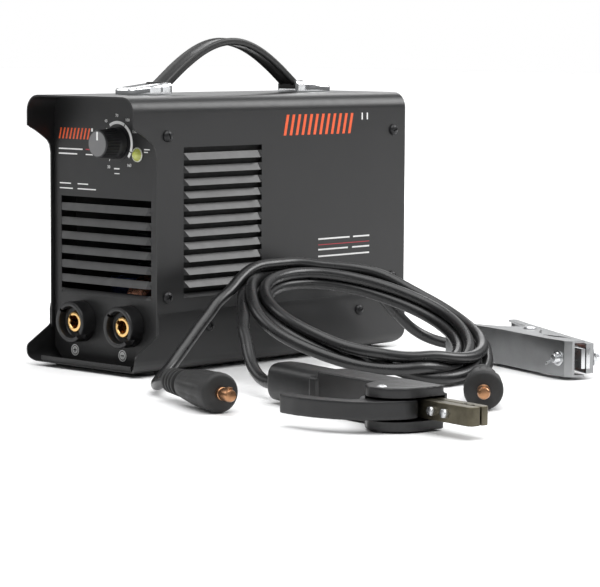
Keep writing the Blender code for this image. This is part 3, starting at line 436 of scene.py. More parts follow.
LOOK = {}
surface("case_paint", (0.009, 0.009, 0.0094), 0.36, grain=0.22, grit=1400, drift=0.1, gloss=0.035)
surface("panel_paint", (0.008, 0.008, 0.0084), 0.43, grain=0.22, grit=1400, drift=0.1, gloss=0.04)
surface("plastic", (0.009, 0.009, 0.0095), 0.36, grain=0.25, grit=2200)
surface("knob", (0.01, 0.01, 0.011), 0.42, grain=0.15, grit=2200)
surface("knob_disc", (0.13, 0.13, 0.132), 0.5, grain=0.1)
surface("strap", (0.012, 0.012, 0.012), 0.4, grain=0.5, grit=1100)
surface("rubber", (0.012, 0.012, 0.012), 0.6, grain=0.4, grit=1500)
surface("cable", (0.012, 0.012, 0.0125), 0.3, grain=0.12, grit=700, gloss=0.06)
surface("chrome", (0.8, 0.81, 0.82), 0.1, 1.0, drift=0.02, gloss=0.03)
surface("screw", (0.022, 0.022, 0.023), 0.34, 0.6, grain=0.1)
surface("zinc", (0.62, 0.63, 0.64), 0.28, 1.0, grain=0.12, drift=0.08)
surface("pressed_steel", (0.33, 0.335, 0.34), 0.36, 1.0, grain=0.2, grit=500, drift=0.1, spread=30,
        gloss=0.09)
surface("brass", (0.78, 0.5, 0.2), 0.24, 1.0, grain=0.1, spread=60)
surface("jaw", (0.12, 0.108, 0.078), 0.42, 1.0, grain=0.5, grit=350, drift=0.3, spread=80)
surface("copper", (0.68, 0.33, 0.22), 0.3, 1.0, grain=0.1, drift=0.15, spread=60)
surface("pin", (0.42, 0.22, 0.115), 0.32, 1.0, grain=0.1, drift=0.2, spread=120)
surface("braid", (0.66, 0.27, 0.2), 0.36, 1.0, grain=0.3, grit=1500, drift=0.25, spread=120)
surface("aluminium", (0.62, 0.63, 0.65), 0.35, 1.0, grain=0.25, grit=500, streak=(1, 0.05, 1))
surface("board", (0.015, 0.09, 0.04), 0.4, grain=0.2, drift=0.3, spread=60)
surface("ferrite", (0.055, 0.055, 0.06), 0.7, grain=0.5)
surface("sleeve", (0.02, 0.03, 0.09), 0.3, grain=0.05)
surface("lens", (0.44, 0.47, 0.1), 0.22, drift=0.2, spread=300, coat=0.6)
surface("lens_rim", (0.72, 0.74, 0.62), 0.18, 0.2, drift=0.03, coat=0.5)
surface("guard", (0.024, 0.024, 0.025), 0.36, 0.3, grain=0.15)
surface("gloss_plastic", (0.01, 0.01, 0.011), 0.2, drift=0.1, coat=0.3)
surface("print", (0.78, 0.78, 0.77), 0.5, drift=0.03, grain=0.05)
surface("orange_print", (0.78, 0.105, 0.025), 0.45, drift=0.05, grain=0.05)
surface("red_print", (0.4, 0.03, 0.045), 0.5, drift=0.05, grain=0.05)
# painted shade: near-black sheets behind the side louvres, so that the gaps between the slats look dark
surface("vent_shade_black", (0.006, 0.006, 0.006), 0.85, grain=0.3, grit=600)
# painted shade: near-black strokes that stand for the shade inside the sunken plus and minus signs
surface("sign_shade_black", (0.004, 0.004, 0.004), 0.8, drift=0.1)


# ---- mesh tools

def keep(obj, look, degrees=30.0, body="machine"):
    """Puts a finished piece in the scene: its looks, its shading and the body that it rides on."""
    obj.data.materials.clear()
    obj.data.materials.append(LOOK[look])
    if obj.type == "MESH":
        obj.data.shade_smooth()
        obj.data.set_sharp_from_angle(angle=radians(degrees))
    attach(obj, body)
    return obj


def new_mesh(name, bm):
    data = bpy.data.meshes.new(name)
    bmesh.ops.recalc_face_normals(bm, faces=bm.faces)
    bm.to_mesh(data)
    bm.free()
    return linked(name, data)


def built(name, tool, *shapes):
    """A new piece from shapes that one of the drawing tools makes, each given as its arguments."""
    bm = bmesh.new()
    for shape in shapes:
        tool(bm, *shape)
    return new_mesh(name, bm)


def bevelled(obj, width, segments=3, degrees=40.0):
    change = obj.modifiers.new("edges", "BEVEL")
    change.width = width * MM
    change.segments = segments
    change.limit_method = "ANGLE"
    change.angle_limit = radians(degrees)
    return obj


def applied(obj):
    """The object with its modifiers made real."""
    bpy.context.view_layer.update()
    graph = bpy.context.evaluated_depsgraph_get()
    data = bpy.data.meshes.new_from_object(obj.evaluated_get(graph))
    obj.modifiers.clear()
    obj.data = data
    return obj


def combined(obj, other, operation):
    """Cuts a second shape from the first or joins it on, and removes the second."""
    change = obj.modifiers.new("combine", "BOOLEAN")
    change.operation = operation
    change.solver = "EXACT"
    change.object = other
    applied(obj)
    bpy.data.objects.remove(other, do_unlink=True)
    return obj


def carved(obj, tool, *shapes):
    """Cuts shapes that one of the drawing tools makes from a finished piece."""
    return combined(obj, built("cutter", tool, *shapes), "DIFFERENCE")


def outward(place, direction):
    """Frame at a place in metres, with Z along a direction and the drawing upright."""
    z = Vector(direction).normalized()
    side = Vector((0, 0, 1)).cross(z)
    x = side.normalized() if side.length > 0.001 else Vector((1, 0, 0))
    return Matrix.Translation(place) @ Matrix((x, z.cross(x), z)).transposed().to_4x4()


def turned(profile, matrix, steps, ribs=0, depth=0.0, power=1):
    """Rings of (radius, height) rows about Z of `matrix`. A third value is a row's share of the ribs."""
    rings = []
    for radius, height, *ribbed in profile:
        ring = []
        for i in range(steps if radius > 0 else 1):
            turn = 2 * pi * i / steps
            reach = radius - sum(ribbed) * depth * (0.5 - 0.5 * cos(turn * ribs)) ** power
            ring.append(placed(matrix, reach * cos(turn), reach * sin(turn), height))
        rings.append(ring)
    return rings


def skin(bm, rings):
    """Faces from each ring of vertices to the next. A ring may be a single point."""
    for a, b in zip(rings, rings[1:]):
        steps = max(len(a), len(b))
        for i in range(steps):
            j = (i + 1) % steps
            corners = a[i % len(a)], a[j % len(a)], b[j % len(b)], b[i % len(b)]
            bm.faces.new(tuple(dict.fromkeys(corners)))


def lathe(bm, profile, matrix, steps, *ribs):
    """A closed turned shape. A profile that doesn't start and end on the axis closes on itself."""
    rings = [[bm.verts.new(p) for p in ring] for ring in turned(profile, matrix, steps, *ribs)]
    closed = profile[0][0] > 0 and profile[-1][0] > 0
    skin(bm, rings + rings[:1] if closed else rings)


def box_in(bm, low, high, matrix):
    """A box between two corners given in millimetres in the frame of `matrix`."""
    low, high = Vector(low), Vector(high)
    for vert in bmesh.ops.create_cube(bm, size=1.0)["verts"]:
        vert.co = placed(matrix, *(low[k] + (high[k] - low[k]) * (vert.co[k] + 0.5) for k in range(3)))


def lofted(bm, rings):
    """A closed skin through rings of points in metres, with flat ends."""
    rows = [[bm.verts.new(p) for p in ring] for ring in rings]
    skin(bm, rows)
    bm.faces.new(rows[0][::-1])
    bm.faces.new(rows[-1])


def extruded(bm, loop, low, high, matrix):
    """A flat closed outline of (x, y) in millimetres, between two heights."""
    lofted(bm, [[placed(matrix, x, y, level) for x, y in loop] for level in (low, high)])


def arc(centre, radius, start, end, count):
    found = []
    for i in range(count + 1):
        angle = radians(start + (end - start) * i / count)
        found.append((centre[0] + radius * cos(angle), centre[1] + radius * sin(angle)))
    return found


def rounded_square(power, count):
    """Unit outline between a circle (power 2) and a square."""
    found = []
    for i in range(count):
        turn = 2 * pi * i / count
        c, d = cos(turn), sin(turn)
        found.append((copysign(abs(c) ** (2 / power), c), copysign(abs(d) ** (2 / power), d)))
    return found


def soften(loop, radius, count=4):
    """The outline with each corner rounded, by less where its sides are short."""
    found = []
    size = len(loop)
    for i in range(size):
        a, b, c = Vector(loop[i - 1]), Vector(loop[i]), Vector(loop[(i + 1) % size])
        before, after = (a - b), (c - b)
        trim = min(radius, before.length * 0.45, after.length * 0.45)
        first, last = b + before.normalized() * trim, b + after.normalized() * trim
        for k in range(count + 1):
            t = k / count
            found.append(tuple(first * (1 - t) ** 2 + b * 2 * t * (1 - t) + last * t * t))
    return found


def tube_mesh(bm, path, radius, steps):
    """A round tube along a path of points in metres."""
    rings = []
    side = (path[1] - path[0]).normalized().orthogonal()
    for i, spot in enumerate(path):
        run = (path[min(i + 1, len(path) - 1)] - path[max(i - 1, 0)]).normalized()
        side = (side - run * side.dot(run)).normalized()
        up = run.cross(side)
        rings.append([spot + (side * cos(2 * pi * k / steps) + up * sin(2 * pi * k / steps))
                      * radius * MM for k in range(steps)])
    lofted(bm, rings)


# ---- case details

def finishes():
    """Better finishes on the CAD nodes that stay in view, with their edges rounded."""
    for look, edge, degrees, *nodes in FINISHES:
        for node in nodes:
            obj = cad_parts[node]
            obj.data.materials.clear()
            obj.data.materials.append(LOOK[look])
            weld = obj.modifiers.new("weld", "WELD")
            weld.merge_threshold = 0.02 * MM
            if edge:
                bevelled(obj, edge, 2, degrees)
            obj.data.shade_smooth()
            weighted = obj.modifiers.new("shading", "WEIGHTED_NORMAL")
            weighted.weight = 80
            weighted.keep_sharp = False


def cross_screw(name, place, direction, node=None, head=4.3):
    """Pan-head screw with a cross recess."""
    matrix = outward(place, direction)
    profile = ((0, 2.5), (head * 0.42, 2.42), (head * 0.74, 1.95), (head * 0.95, 0.95), (head, 0.25),
               (head * 0.97, 0), (2, 0), (2, -5), (0, -5))
    obj = built(name, lathe, (profile, matrix, 28))
    for turn in (20, 110):
        carved(obj, box_in, ((-2.3, -0.48, 1), (2.3, 0.48, 4), spun(matrix, turn)))
    keep(obj, "screw")
    if node:
        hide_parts(node)


def case_screws():
    for side, sign in SIDES:
        for number in range(1, 5):
            node = f"cover_screw_{side}_{number}"
            seat = middle(node)
            low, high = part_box(node)
            seat.x = (high.x if sign > 0 else low.x) - sign * 2.5 * MM
            cross_screw(f"{node}_head", seat, (sign, 0, 0), node)
        for number, back in enumerate((75.5, 241), 1):
            cross_screw(f"tray_screw_{side}_{number}", at(sign * 59.55, back, 30.3), (sign, 0, 0), head=4)


def printed(name, loops, look, thick=0.1, plane=FRONT_PLANE, body="machine"):
    """Printed marks, as very thin raised shapes in a plane."""
    keep(built(name, extruded, *((loop, -0.05, thick, plane) for loop in loops)), look, 30, body)


def bar(x0, x1, y0, y1, lean=0):
    rise = lean * (y1 - y0)
    return [(x0, y0), (x1, y0), (x1 + rise, y1), (x0 + rise, y1)]


def ring_shape(centre, inner, outer, start, end, count):
    return arc(centre, inner, start, end, count) + arc(centre, outer, end, start, count)


def dial():
    """Disc, scale and plain numbers round the knob."""
    knob = middle("current_knob")
    centre = (knob.x / MM, knob.z / MM - FOOT)
    printed("dial_disc", [arc(centre, 13.4, 0, 354, 59)], "knob", 0.35)
    scale = [ring_shape(centre, 14.1, 16.3, start, end, 24)
             for start, end in ((123, 62), (58.5, -22), (-25.5, -40.6))]
    for turn in range(236, 137, -14):
        lean = radians(turn)
        ray = Vector((cos(lean), sin(lean)))
        side = Vector((-ray.y, ray.x)) * 0.25
        base, tip = Vector(centre) + ray * 14.6, Vector(centre) + ray * 16
        scale.append([tuple(base - side), tuple(tip - side), tuple(tip + side), tuple(base + side)])
    printed("dial_scale", scale, "print", 0.12)
    numbers = ((128, "40"), (92, "70"), (58, "100"), (26, "130"), (-52, "160"), (-118, "20"))
    for number, (turn, text) in enumerate(numbers, 1):
        figure(f"dial_number_{number}", text, arc(centre, 20.2, turn, turn, 1)[0])


def figure(name, text, spot):
    """One number of the dial, as a thin solid."""
    curve = bpy.data.curves.new(name, "FONT")
    curve.body = text
    curve.size = 3.1 * MM
    curve.align_x = "CENTER"
    curve.align_y = "CENTER"
    curve.extrude = 0.06 * MM
    source = linked(name + "_text", curve)
    bpy.context.view_layer.update()
    data = bpy.data.meshes.new_from_object(source.evaluated_get(bpy.context.evaluated_depsgraph_get()))
    data.name = name
    bpy.data.objects.remove(source, do_unlink=True)
    data.transform(FRONT_PLANE @ Matrix.Translation(Vector((*spot, 0.02)) * MM))
    keep(linked(name, data), "print")


def front_marks():
    """Plain bars and icons where the front panel carries printing; the plus and minus strokes in the icons
    are painted shade.
    """
    slanted = [bar(-51.5 + 3.9 * i, -49.9 + 3.9 * i, 167, 175.2, 0.28) for i in range(9)]
    printed("front_stripes", slanted, "orange_print")
    printed("front_lines", [bar(*row) for row in FRONT_LINES], "print")
    printed("front_red_line", [bar(-21.5, -10.5, 159.2, 160)], "red_print")
    for name, x in (("plus", -34), ("minus", 18)):
        centre = (x, 8.6)
        rim = [ring_shape(centre, 3.5, 4.3, 0, 180, 20), ring_shape(centre, 3.5, 4.3, 180, 360, 20)]
        printed(f"{name}_icon", rim + [arc(centre, 2.9, 0, 350, 35)], "print", 0.12)
        strokes = [bar(x - 1.7, x + 1.7, 8.2, 9)]
        if name == "plus":
            strokes.append(bar(x - 0.4, x + 0.4, 6.9, 10.3))
        # painted shade: the strokes are as dark as the inside of a sunken sign
        printed(f"{name}_sign", strokes, "sign_shade_black", 0.2)


def side_marks():
    """Stripes and plain bars on both side walls, the same way round to a reader on each side."""
    stripes = [bar(155.6 + 6.6 * i, 158.4 + 6.6 * i, 169, 184.7, 0.22) for i in range(12)]
    lines = [bar(*row) for row in SIDE_LINES]
    red = [bar(195, 254, 83.4, 84)]
    for side, sign in SIDES:
        axes = Matrix(((0, 0, sign), (sign, 0, 0), (0, 1, 0))).to_4x4()
        plane = Matrix.Translation(at(sign * 58, 0, 0)) @ axes
        for kind, loops, look in (("stripes", stripes, "orange_print"), ("lines", lines, "print"),
                                  ("red_line", red, "red_print")):
            turned_round = [[(sign * x, y) for x, y in loop] for loop in loops]
            printed(f"{side}_{kind}", turned_round, look, 0.1, plane)


def knob():
    """Ribbed knob with a grey face and a white pointer."""
    place = middle("current_knob")
    place.y = at(0, 6, 0).y
    profile = ((0, 0, 0), (9.2, 0, 0), (9.9, -0.35, 0), (10.2, -1.1, 0), (10.2, -1.9, 1), (10.45, -6.5, 1),
               (10.8, -12.2, 1), (11, -13.4, 0), (11.5, -14.2, 0), (11.5, -18.9, 0), (11.1, -19.3, 0),
               (3.4, -19.3, 0), (3.4, -8, 0), (0, -8, 0))
    obj = built("knob_grip", lathe, (profile, outward(place, (0, -1, 0)), 168, 28, 0.5, 2))
    keep(obj, "knob", 40, "knob")
    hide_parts("current_knob")
    face = Matrix.Translation(place) @ STANDING
    printed("knob_face", [arc((0, 0), 9.1, 0, 355, 71)], "knob_disc", 0.18, face, "knob")
    pointer = soften(bar(-0.75, 0.75, 2.6, 8.8), 0.4, 2)
    printed("knob_pointer", [pointer], "print", 0.32, face, "knob")


def indicator():
    """Bright rim round the green lens."""
    place = middle("indicator_lens")
    place.y = at(0, 25.9, 0).y
    profile = ((4.6, -0.1), (5.3, -0.1), (5.35, 0.5), (5.1, 0.9), (4.8, 0.9), (4.6, 0.5))
    rim = built("lens_rim", lathe, (profile, outward(place, (0, -1, 0)), 40))
    keep(rim, "lens_rim")


def sockets():
    """Collar with a rolled lip and a key notch, round a turned brass contact."""
    for side in ("positive", "negative"):
        place = middle(f"socket_body_{side}")
        place.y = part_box(f"socket_body_{side}")[0].y
        matrix = outward(place, (0, -1, 0))
        profile = ((11.9, -0.5), (12.3, -0.1), (12.9, 0), (14.2, 0), (14.9, -0.25), (15.3, -0.9),
                   (15.4, -1.6), (15.4, -12.6), (11.2, -12.6), (11.2, -30), (7.9, -30), (7.9, -9),
                   (8.4, -8.2), (11, -7.4), (11.6, -6.6))
        collar = built(f"socket_collar_{side}", lathe, (profile, matrix, 72))
        notches = []
        for turn, far, wide in ((-42, 16.8, 2.2), (138, 13.8, 1.1)):
            spoke = spun(matrix, turn)
            notches.append(((9, -wide, -5.4), (far, wide, 2), spoke))
        carved(collar, box_in, *notches)
        keep(collar, "plastic", 32)
        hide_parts(f"socket_body_{side}")
        profile = ((4.7, -5.2), (5.1, -4.7), (6.4, -4.6), (7.2, -4.8), (7.5, -5.4), (7.5, -38), (5, -38),
                   (5, -48), (2, -48), (2, -36), (4.6, -36), (4.6, -30))
        contact = built(f"socket_core_{side}", lathe, (profile, matrix, 56))
        carved(contact, box_in, ((3.4, -1.7, -16), (6.3, 1.7, 2), spoke))
        keep(contact, "brass", 32)
        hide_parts(f"socket_contact_{side}")


def strap():
    """Rubber strap with raised edges, along a cosine wave between the two caps."""
    middle_y = Vector((0, middle("handle_strap").y, 0))
    rise, half_wave, base = 35.2, 147, FOOT + 204.5
    section = ((-8, -1.2), (-7.6, -2.3), (-6.7, -2.8), (-5.4, -2.7), (-4.6, -2.2), (4.6, -2.2), (5.4, -2.7),
               (6.7, -2.8), (7.6, -2.3), (8, -1.2), (8, 1.2), (7.7, 2.2), (6.9, 2.8), (6.2, 2.75),
               (5.6, 2.2), (5.1, 1.7), (-5.1, 1.7), (-5.6, 2.2), (-6.2, 2.75), (-6.9, 2.8), (-7.7, 2.2),
               (-8, 1.2))
    rings = []
    for i in range(73):
        along = 2 * i - 72
        turn = pi * along / half_wave
        tangent = Vector((0, 1, -rise * pi / half_wave * sin(turn))).normalized()
        normal = Vector((0, -tangent.z, tangent.y))
        centre = Vector((0, along, base + rise * cos(turn)))
        rings.append([(centre + Vector((x, 0, 0)) + normal * n) * MM + middle_y for x, n in section])
    obj = keep(built("strap", lofted, (rings,)), "strap", 50)
    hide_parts("handle_strap")


def strap_ends():
    """Polished end caps, each with a black shoe where the strap goes in."""
    half = 10.5
    for end, sign in (("front", -1), ("rear", 1)):
        low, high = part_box(f"handle_cap_{end}")
        length = (high.y - low.y) / MM
        outer = Vector((0, high.y if sign > 0 else low.y, low.z))
        matrix = spun(Matrix.Translation(outer), 180 if sign > 0 else 0)
        plan = arc((-half + 5, 5), 5, 180, 270, 8) + arc((half - 5, 5), 5, 270, 360, 8)
        for x, start in ((half - 0.8, 0), (0.8 - half, 90)):
            plan += arc((x, length - 0.8), 0.8, start, start + 90, 3)
        rows = []
        for inset, share in ((0, 0), (0, 0.62), (0.3, 0.80), (0.9, 0.92), (1.8, 0.98), (3.2, 1)):
            row = []
            for x, y in plan:
                along = length / 2 + (y - length / 2) * (length / 2 - inset) / (length / 2)
                top = 4.7 + 4.5 * along / length
                row.append(placed(matrix, x * (half - inset) / half, along, share * top))
            rows.append(row)
        cuts = [((-8.5, length - 9.5, 2.3), (8.5, length + 5, 20), matrix)]
        for left, right in ((-half - 2, 0.5 - half), (half - 0.5, half + 2)):
            for near, far in ((23, 11.5), (10, 2)):
                cuts.append(((left, length - near, 1.3), (right, length - far, 5.6), matrix))
        cap = carved(built(f"cap_{end}", lofted, (rows,)), box_in, *cuts)
        keep(cap, "chrome", 35)
        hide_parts(f"handle_cap_{end}")
        outline = soften([(-8.3, 2.5), (8.3, 2.5), (8.3, 9), (-8.3, 9)], 0.8, 2)
        upright = matrix @ Matrix(((1, 0, 0), (0, 0, 1), (0, 1, 0))).to_4x4()
        shoe = built(f"strap_shoe_{end}", extruded, (outline, length - 9.2, length + 0.7, upright))
        keep(shoe, "strap", 35)


def rear_fittings():
    """Screws of the fan guard, and the cable gland with its nut and seal."""
    centre = middle("fan_guard")
    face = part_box("fan_guard")[1].y + 0.05 * MM
    for number, (x, z) in enumerate(((1, 1), (-1, 1), (-1, -1), (1, -1)), 1):
        place = Vector((centre.x + x * 39.5 * MM, face, centre.z + z * 39.5 * MM))
        cross_screw(f"guard_screw_{number}", place, (0, 1, 0), head=3.6)
    place = middle("mains_gland")
    place.y = at(0, 288.5, 0).y
    matrix = outward(place, (0, 1, 0))
    obj = bevelled(built("gland_hex", extruded, (arc((0, 0), 13, 0, 300, 5), 0, 4.6, matrix)), 0.5)
    carved(obj, lathe, (((0, 9), (7, 9), (7, -3), (0, -3)), matrix, 40))
    keep(obj, "plastic", 35)
    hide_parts("mains_gland")
    profile = ((6.2, 4.7, 0), (11, 4.7, 0), (11, 6, 1), (11, 12, 1), (10.4, 13.2, 0), (9, 16, 0),
               (7.4, 18.6, 0), (6.6, 19.4, 0), (6, 19.5, 0), (6, 8, 0))
    nut = built("gland_nut", lathe, (profile, matrix, 96, 24, 0.35))
    keep(nut, "plastic", 35)
    profile = ((5, 19), (5.9, 19.2), (5.9, -12), (5, -12))
    keep(built("gland_seal", lathe, (profile, matrix, 40)), "rubber", 35)


def vent_shade_sheets():
    """Near-black sheets that stand inside the side louvres, with a folded lip at top and bottom. They are
    painted shade: they keep the gaps between the slats dark.
    """
    section = ((52.8, 47), (53.6, 47), (53.6, 168), (46, 176), (45.4, 175.5), (52.8, 167.7))
    for side, sign in SIDES:
        lean = Matrix.Translation(at(0, 45, 0)) @ Matrix(((sign, 0, 0), (0, 0, 1), (0, 1, 0))).to_4x4()
        keep(built(f"vent_shade_sheet_{side}", extruded, (section, 0, 92, lean)), "vent_shade_black")


# ---- tools on the leads

def tool_matrix(place, heading, up):
    """The tool's frame in metres."""
    found = in_tool(place, heading, up)
    found.translation = found.translation * MM
    return found


def moulded(name, matrix, loop, half, corner, voxel, passes, extra=None):
    """A moulding with soft edges: a thick outline, merged with extra shapes and smoothed over."""
    bm = bmesh.new()
    extruded(bm, soften(loop, corner), -half, half, matrix)
    if extra:
        extra(bm)
    obj = new_mesh(name, bm)
    remesh = obj.modifiers.new("skin", "REMESH")
    remesh.mode = "VOXEL"
    remesh.voxel_size = voxel * MM
    smooth = obj.modifiers.new("soft", "SMOOTH")
    smooth.factor = 0.5
    smooth.iterations = passes
    return applied(obj)


def lead_plug(side, place, heading):
    """Bayonet plug: ribbed bend relief, tapered grip with finger flutes, and a copper pin with its key."""
    matrix = tool_matrix(place, heading, PLUG_R + 0.3)
    axis = matrix @ LENGTHWISE
    profile = [(4.2, 0), (6.4, 0), (7.4, 0.4), (7.8, 1.5)]
    for rib in range(4):
        start = 3 + 5 * rib
        reach = 8.6 + 0.25 * rib
        profile += [(7.4, start), (reach, start + 0.5), (reach + 0.15, start + 1.6), (reach, start + 2.6),
                    (7.5, start + 3.2), (7.3, start + 4.3)]
    profile += [(9.2, 24.6), (9.9, 26), (11.2, 36, 0.6), (12.2, 44, 1), (12.9, 52, 1), (13.2, 60, 1),
                (13.3, 65, 0.6), (13.4, 68), (13.4, 73.2), (13.1, 74.6), (12.2, 75.6), (10.8, 76)]
    body = built(f"{side}_plug_grip", lofted, (turned(profile, axis, 96, 12, 0.75, 3),))
    keep(body, "rubber", 50)
    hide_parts(f"{side}_plug_body")
    profile = ((0, 91.2), (2.4, 91.2), (3.5, 90.8), (4.1, 89.8), (4.35, 88.4), (4.35, 80.6), (3.9, 80.2),
               (3.9, 79.2), (4.35, 78.8), (4.35, 76.2), (0, 76.2))
    pin = built(f"{side}_plug_tip", lathe, (profile, axis, 40))
    key = bevelled(built("key", box_in, ((85.6, -1.5, 2), (89.5, 1.5, 5.45), matrix)), 0.3)
    keep(combined(pin, key, "UNION"), "pin", 35)
    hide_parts(f"{side}_plug_pin")
    return [body, pin]


def hex_bolt(name, place, direction, across, height, body, washer=0):
    """Hexagon head with a chamfered crown, on a washer where it has one."""
    matrix = outward(place, direction)
    radius = across / sqrt(3)
    rows = []
    for share, level in ((1, washer), (1, washer + height * 0.78), (0.88, washer + height)):
        rows.append([placed(matrix, x * share, y * share, level) for x, y in arc((0, 0), radius, 0, 300, 5)])
    bm = bmesh.new()
    lofted(bm, rows)
    if washer:
        lathe(bm, ((0, washer), (radius * 1.15, washer), (radius * 1.15, 0), (0, 0)), matrix, 28)
    return keep(applied(bevelled(new_mesh(name, bm), 0.2, 2)), "zinc", 30, body)


def rivet(name, place, direction, radius, height):
    """Domed rivet head with a dimple."""
    profile = ((0, height * 0.72), (radius * 0.22, height * 0.76), (radius * 0.32, height * 0.98),
               (radius * 0.6, height), (radius * 0.88, height * 0.66), (radius, height * 0.2), (radius, -1),
               (0, -1))
    return keep(built(name, lathe, (profile, outward(place, direction), 36)), "zinc", 50)


def holder_shell(matrix):
    """Moulded handle of the electrode holder, hollow at the jaws and where the cable goes in."""
    head = [(58, 8.4), (160, 8.4), (161, 7), (161.5, -13), (160, -21), (156, -28), (149, -34), (138, -36),
            (129, -31), (124, -26), (121, -17), (58, -16.2)]

    def grip(bm):
        """Rounded rear of the handle, its two collars, and the narrower rib along its top."""
        rows = []
        for u, low, high, half in ((0, -12.4, 12.4, 11.4), (1.2, -13.8, 13.8, 13), (14, -14.6, 13.8, 13.4),
                                   (42, -16, 12.9, 13.2), (50, -16.2, 12.6, 13.2), (66, -16.3, 11, 13.4)):
            rows.append([placed(matrix, u, (low + high) / 2 + (high - low) / 2 * y, half * z)
                         for y, z in rounded_square(3.4, 40)])
        lofted(bm, rows)
        rib = soften([(56, 5), (56, 12.4), (130, 11.4), (131, 13.8), (158, 12.8), (161, 10), (161, 5)], 1, 3)
        extruded(bm, rib, -8.6, 8.6, matrix)
        box_in(bm, (51.5, 8, -9), (60.5, 14.1, 9), matrix)
        box_in(bm, (52.5, -17.5, -9), (60.5, -12, 9), matrix)
        for number in range(3):
            box_in(bm, (136 + 7 * number, 10, -6), (139.4 + 7 * number, 14 - 0.2 * number, 6), matrix)

    shell = moulded("holder_handle", matrix, head[::-1], 14, 3, 0.75, 10, grip)
    carved(shell, box_in, ((130.5, -50, -7.6), (180, -13.5, 7.6), matrix))
    carved(shell, box_in, ((138, -14, -7.6), (180, 8.2, 7.6), matrix))
    carved(shell, lathe, (((0, 6), (5.4, 6), (5.4, -4), (0, -4)), matrix @ LENGTHWISE, 40))
    keep(shell, "plastic", 32)
    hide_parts("holder_body")
    return shell


def holder():
    """Electrode holder: grooved handle, crescent lever and two cast jaws with electrode notches."""
    matrix = tool_matrix(*HOLDER, HOLDER_UP)
    pieces = [holder_shell(matrix)]
    profile = ((4.3, 12), (6.2, 12), (6.2, -2.2), (5.8, -6), (5, -9.5), (4.35, -11.5))
    sleeve = built("holder_sleeve", lathe, (profile, matrix @ LENGTHWISE, 40))
    pieces.append(keep(sleeve, "rubber", 50))
    place = matrix @ Matrix.Translation(Vector((117.5, -15, 0)) * MM) @ STANDING
    rings = turned(((4.6, -3), (4.6, 2, 1), (4.6, 7.4, 1), (4.2, 8.3), (3.2, 8.7)), place, 48, 12, 0.35)
    pieces.append(keep(built("holder_clamp_screw", lofted, (rings,)), "pressed_steel", 40))
    for name, sign in (("upper", 1), ("lower", -1)):
        spot = placed(matrix, 144, -29, sign * 13.6)
        pieces.append(rivet(f"holder_rivet_{name}", spot, (0, 0, sign), 3.4, 1.3))
    fixed = [(139, 0.4), (206, 0.4), (206, 5), (203.5, 7.4), (139, 7.4)]
    moving = [(148, -9.2), (203.5, -9.2), (206, -7), (206, -0.9), (148, -0.9)]
    for name, loop, groove, body, node in (("upper", fixed, -0.3, "machine", "holder_jaw_fixed"),
                                           ("lower", moving, -0.2, "lever", "holder_jaw_moving")):
        jaw = built(f"holder_jaw_{name}", extruded, (soften(loop, 0.8, 3), -6, 6, matrix))
        applied(bevelled(jaw, 0.6, 3))
        for u in (190, 197):
            across = matrix @ Matrix.Translation(Vector((u, groove, 0)) * MM)
            carved(jaw, lathe, (((0, 9), (1.9, 9), (1.9, -9), (0, -9)), across, 24))
        pieces.append(keep(jaw, "jaw", 35, body))
        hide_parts(node)
    for name, v, up, body in (("upper", 7.4, 1, "machine"), ("lower", -9.2, -1, "lever")):
        for number, u in enumerate((170, 183), 1):
            pieces.append(hex_bolt(f"holder_bolt_{name}_{number}", placed(matrix, u, v, 0),
                                   matrix.to_3x3() @ Vector((0, up, 0)), 5.5, 3.2, body))
    outer = [(159.5, -12), (160, -20), (157.5, -28), (150, -42.5), (141, -52), (131, -58.6),
             (118, -64.3), (104.4, -67.8), (90, -68.8), (87, -66.5), (86, -62.5), (88.5, -59)]
    inner = [(100, -57.8), (112, -54.6), (124, -50), (133.8, -45), (134.5, -34), (135.5, -24),
             (140, -15), (148, -10), (156, -9.8)]
    lever = moulded("holder_trigger", matrix, (outer + inner)[::-1], 6, 4, 0.6, 12)
    keep(lever, "plastic", 60, "lever")
    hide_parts("holder_lever")
    return pieces + [lever]


def clamp():
    """Earth clamp: two pressed channels on a rivet, with the spring and the braid between them."""
    matrix = tool_matrix(*CLAMP, CLAMP_UP)
    pieces = [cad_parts[node] for node in ("clamp_jaw_fixed", "clamp_jaw_moving", "clamp_pivot")]
    path = []
    for i in range(109):
        angle = 2 * pi * i / 24
        path.append(placed(matrix, 5.6 * cos(angle), 5.6 * sin(angle), 13.6 * i / 108 - 6.8))
    spring = built("clamp_torsion_spring", tube_mesh, (path, 1, 10))
    pieces.append(keep(spring, "zinc", 60))
    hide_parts("clamp_spring")
    strands = []
    for strand in range(6):
        level = -4.2 + 1.68 * strand
        path = []
        for i in range(41):
            turn = radians(60 + 240 * i / 40)
            wave = i * 1.3 + strand * pi
            radius = 6.3 + 0.35 * sin(wave)
            path.append(placed(matrix, 45 + radius * cos(turn), -1.6 + radius * sin(turn),
                               level + 0.45 * cos(wave)))
        strands.append((path, 0.85, 8))
    braid = built("clamp_braid_strands", tube_mesh, *strands)
    pieces.append(keep(braid, "braid", 60))
    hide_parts("clamp_braid")
    return pieces + clamp_fittings(matrix)


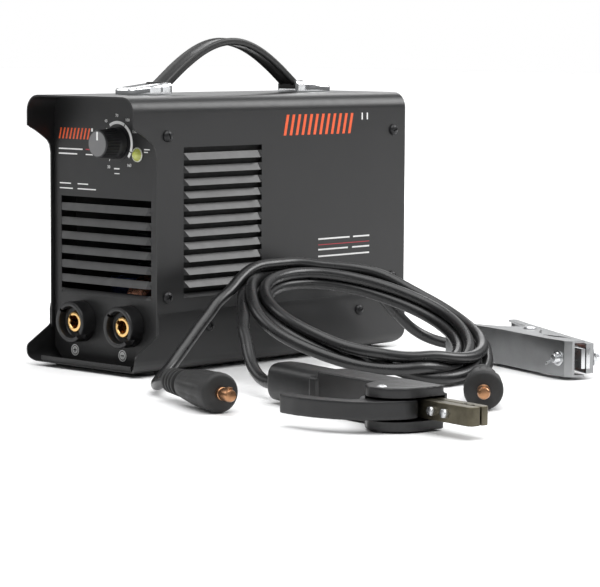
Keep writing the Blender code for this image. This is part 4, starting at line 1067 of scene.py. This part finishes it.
def clamp_fittings(matrix):
    """Cable lug on the fixed jaw, the contact pads, and the bolts that hold them."""
    rows = []
    for u, v, across, thick in ((43.5, 18.9, 5.4, 5.4), (44.5, 18.5, 5.6, 5.6), (56, 13.9, 5.6, 5.6),
                                (60.5, 12.3, 6.4, 3.4), (64.5, 11.3, 7, 1.3), (77.5, 9.6, 7, 1.3),
                                (81, 9.2, 5.6, 1.2), (82.6, 9, 2.6, 1)):
        rows.append([placed(matrix, u + thick * y * 0.35, v + thick * y, across * z)
                     for y, z in rounded_square(2.4, 32)])
    pieces = [keep(built("clamp_lug", lofted, (rows,)), "zinc", 45)]
    for name, sign, body in (("fixed", 1, "machine"), ("moving", -1, "clamp_jaw")):
        low, high = sorted((sign * 0.5, sign * 3.6))
        boxes = [((62, low, -7.4), (84.4, high, 7.4), matrix)]
        low, high = sorted((sign * 0.2, sign * 1))
        for tooth in range(6):
            start = 64 + 3.2 * tooth
            boxes.append(((start, low, -7.2), (start + 1.6, high, 7.2), matrix))
        pad = applied(bevelled(built(f"clamp_pad_{name}", box_in, *boxes), 0.25, 2))
        pieces.append(keep(pad, "zinc", 30, body))
    out = matrix.to_3x3() @ Vector((0.13, 0.99, 0))
    spot = placed(matrix, 72.5, 11.4, 0)
    pieces.append(hex_bolt("clamp_lug_bolt", spot, out, 8, 4.4, "machine", 0.9))
    seat = outward(placed(matrix, 74, -16.6, 0), matrix.to_3x3() @ Vector((0.18, -0.98, 0)))
    bm = bmesh.new()
    lathe(bm, ((0, 1), (5.6, 1), (5.6, 0), (0, 0)), seat, 28)
    lathe(bm, ((0, 5.6), (2.6, 5.6), (3.4, 4.8), (4.2, 1), (0, 1)), seat, 28)
    outline = soften([(2, 1.4), (5, 2), (8.4, 5.4), (8.2, 7.6), (6, 7.4), (2, 4.6)], 1.2, 3)
    for turn in (35, 215):
        extruded(bm, outline, -0.8, 0.8, spun(seat, turn) @ Matrix.Rotation(radians(90), 4, "X"))
    nut = applied(bevelled(new_mesh("clamp_wing_nut", bm), 0.2, 2))
    return pieces + [keep(nut, "zinc", 35, "clamp_jaw")]


# ---- the leads themselves

def leads():
    """Both cables, each with the tool and the plug at its ends."""
    paths = lead_paths()
    cables = (lead("holder_lead", paths[0], "lead_coil", "holder_lead_plug_end", "holder_lead_tool_end"),
              lead("earth_lead", paths[1], "earth_lead_plug_end", "earth_lead_clamp_end"))
    tools = (lead_plug("holder", *HOLDER_PLUG) + holder(), lead_plug("earth", *EARTH_PLUG) + clamp())


camera()
studio()
leads()
finishes()
vent_shade_sheets()
case_screws()
dial()
front_marks()
side_marks()
knob()
indicator()
sockets()
strap()
strap_ends()
rear_fittings()
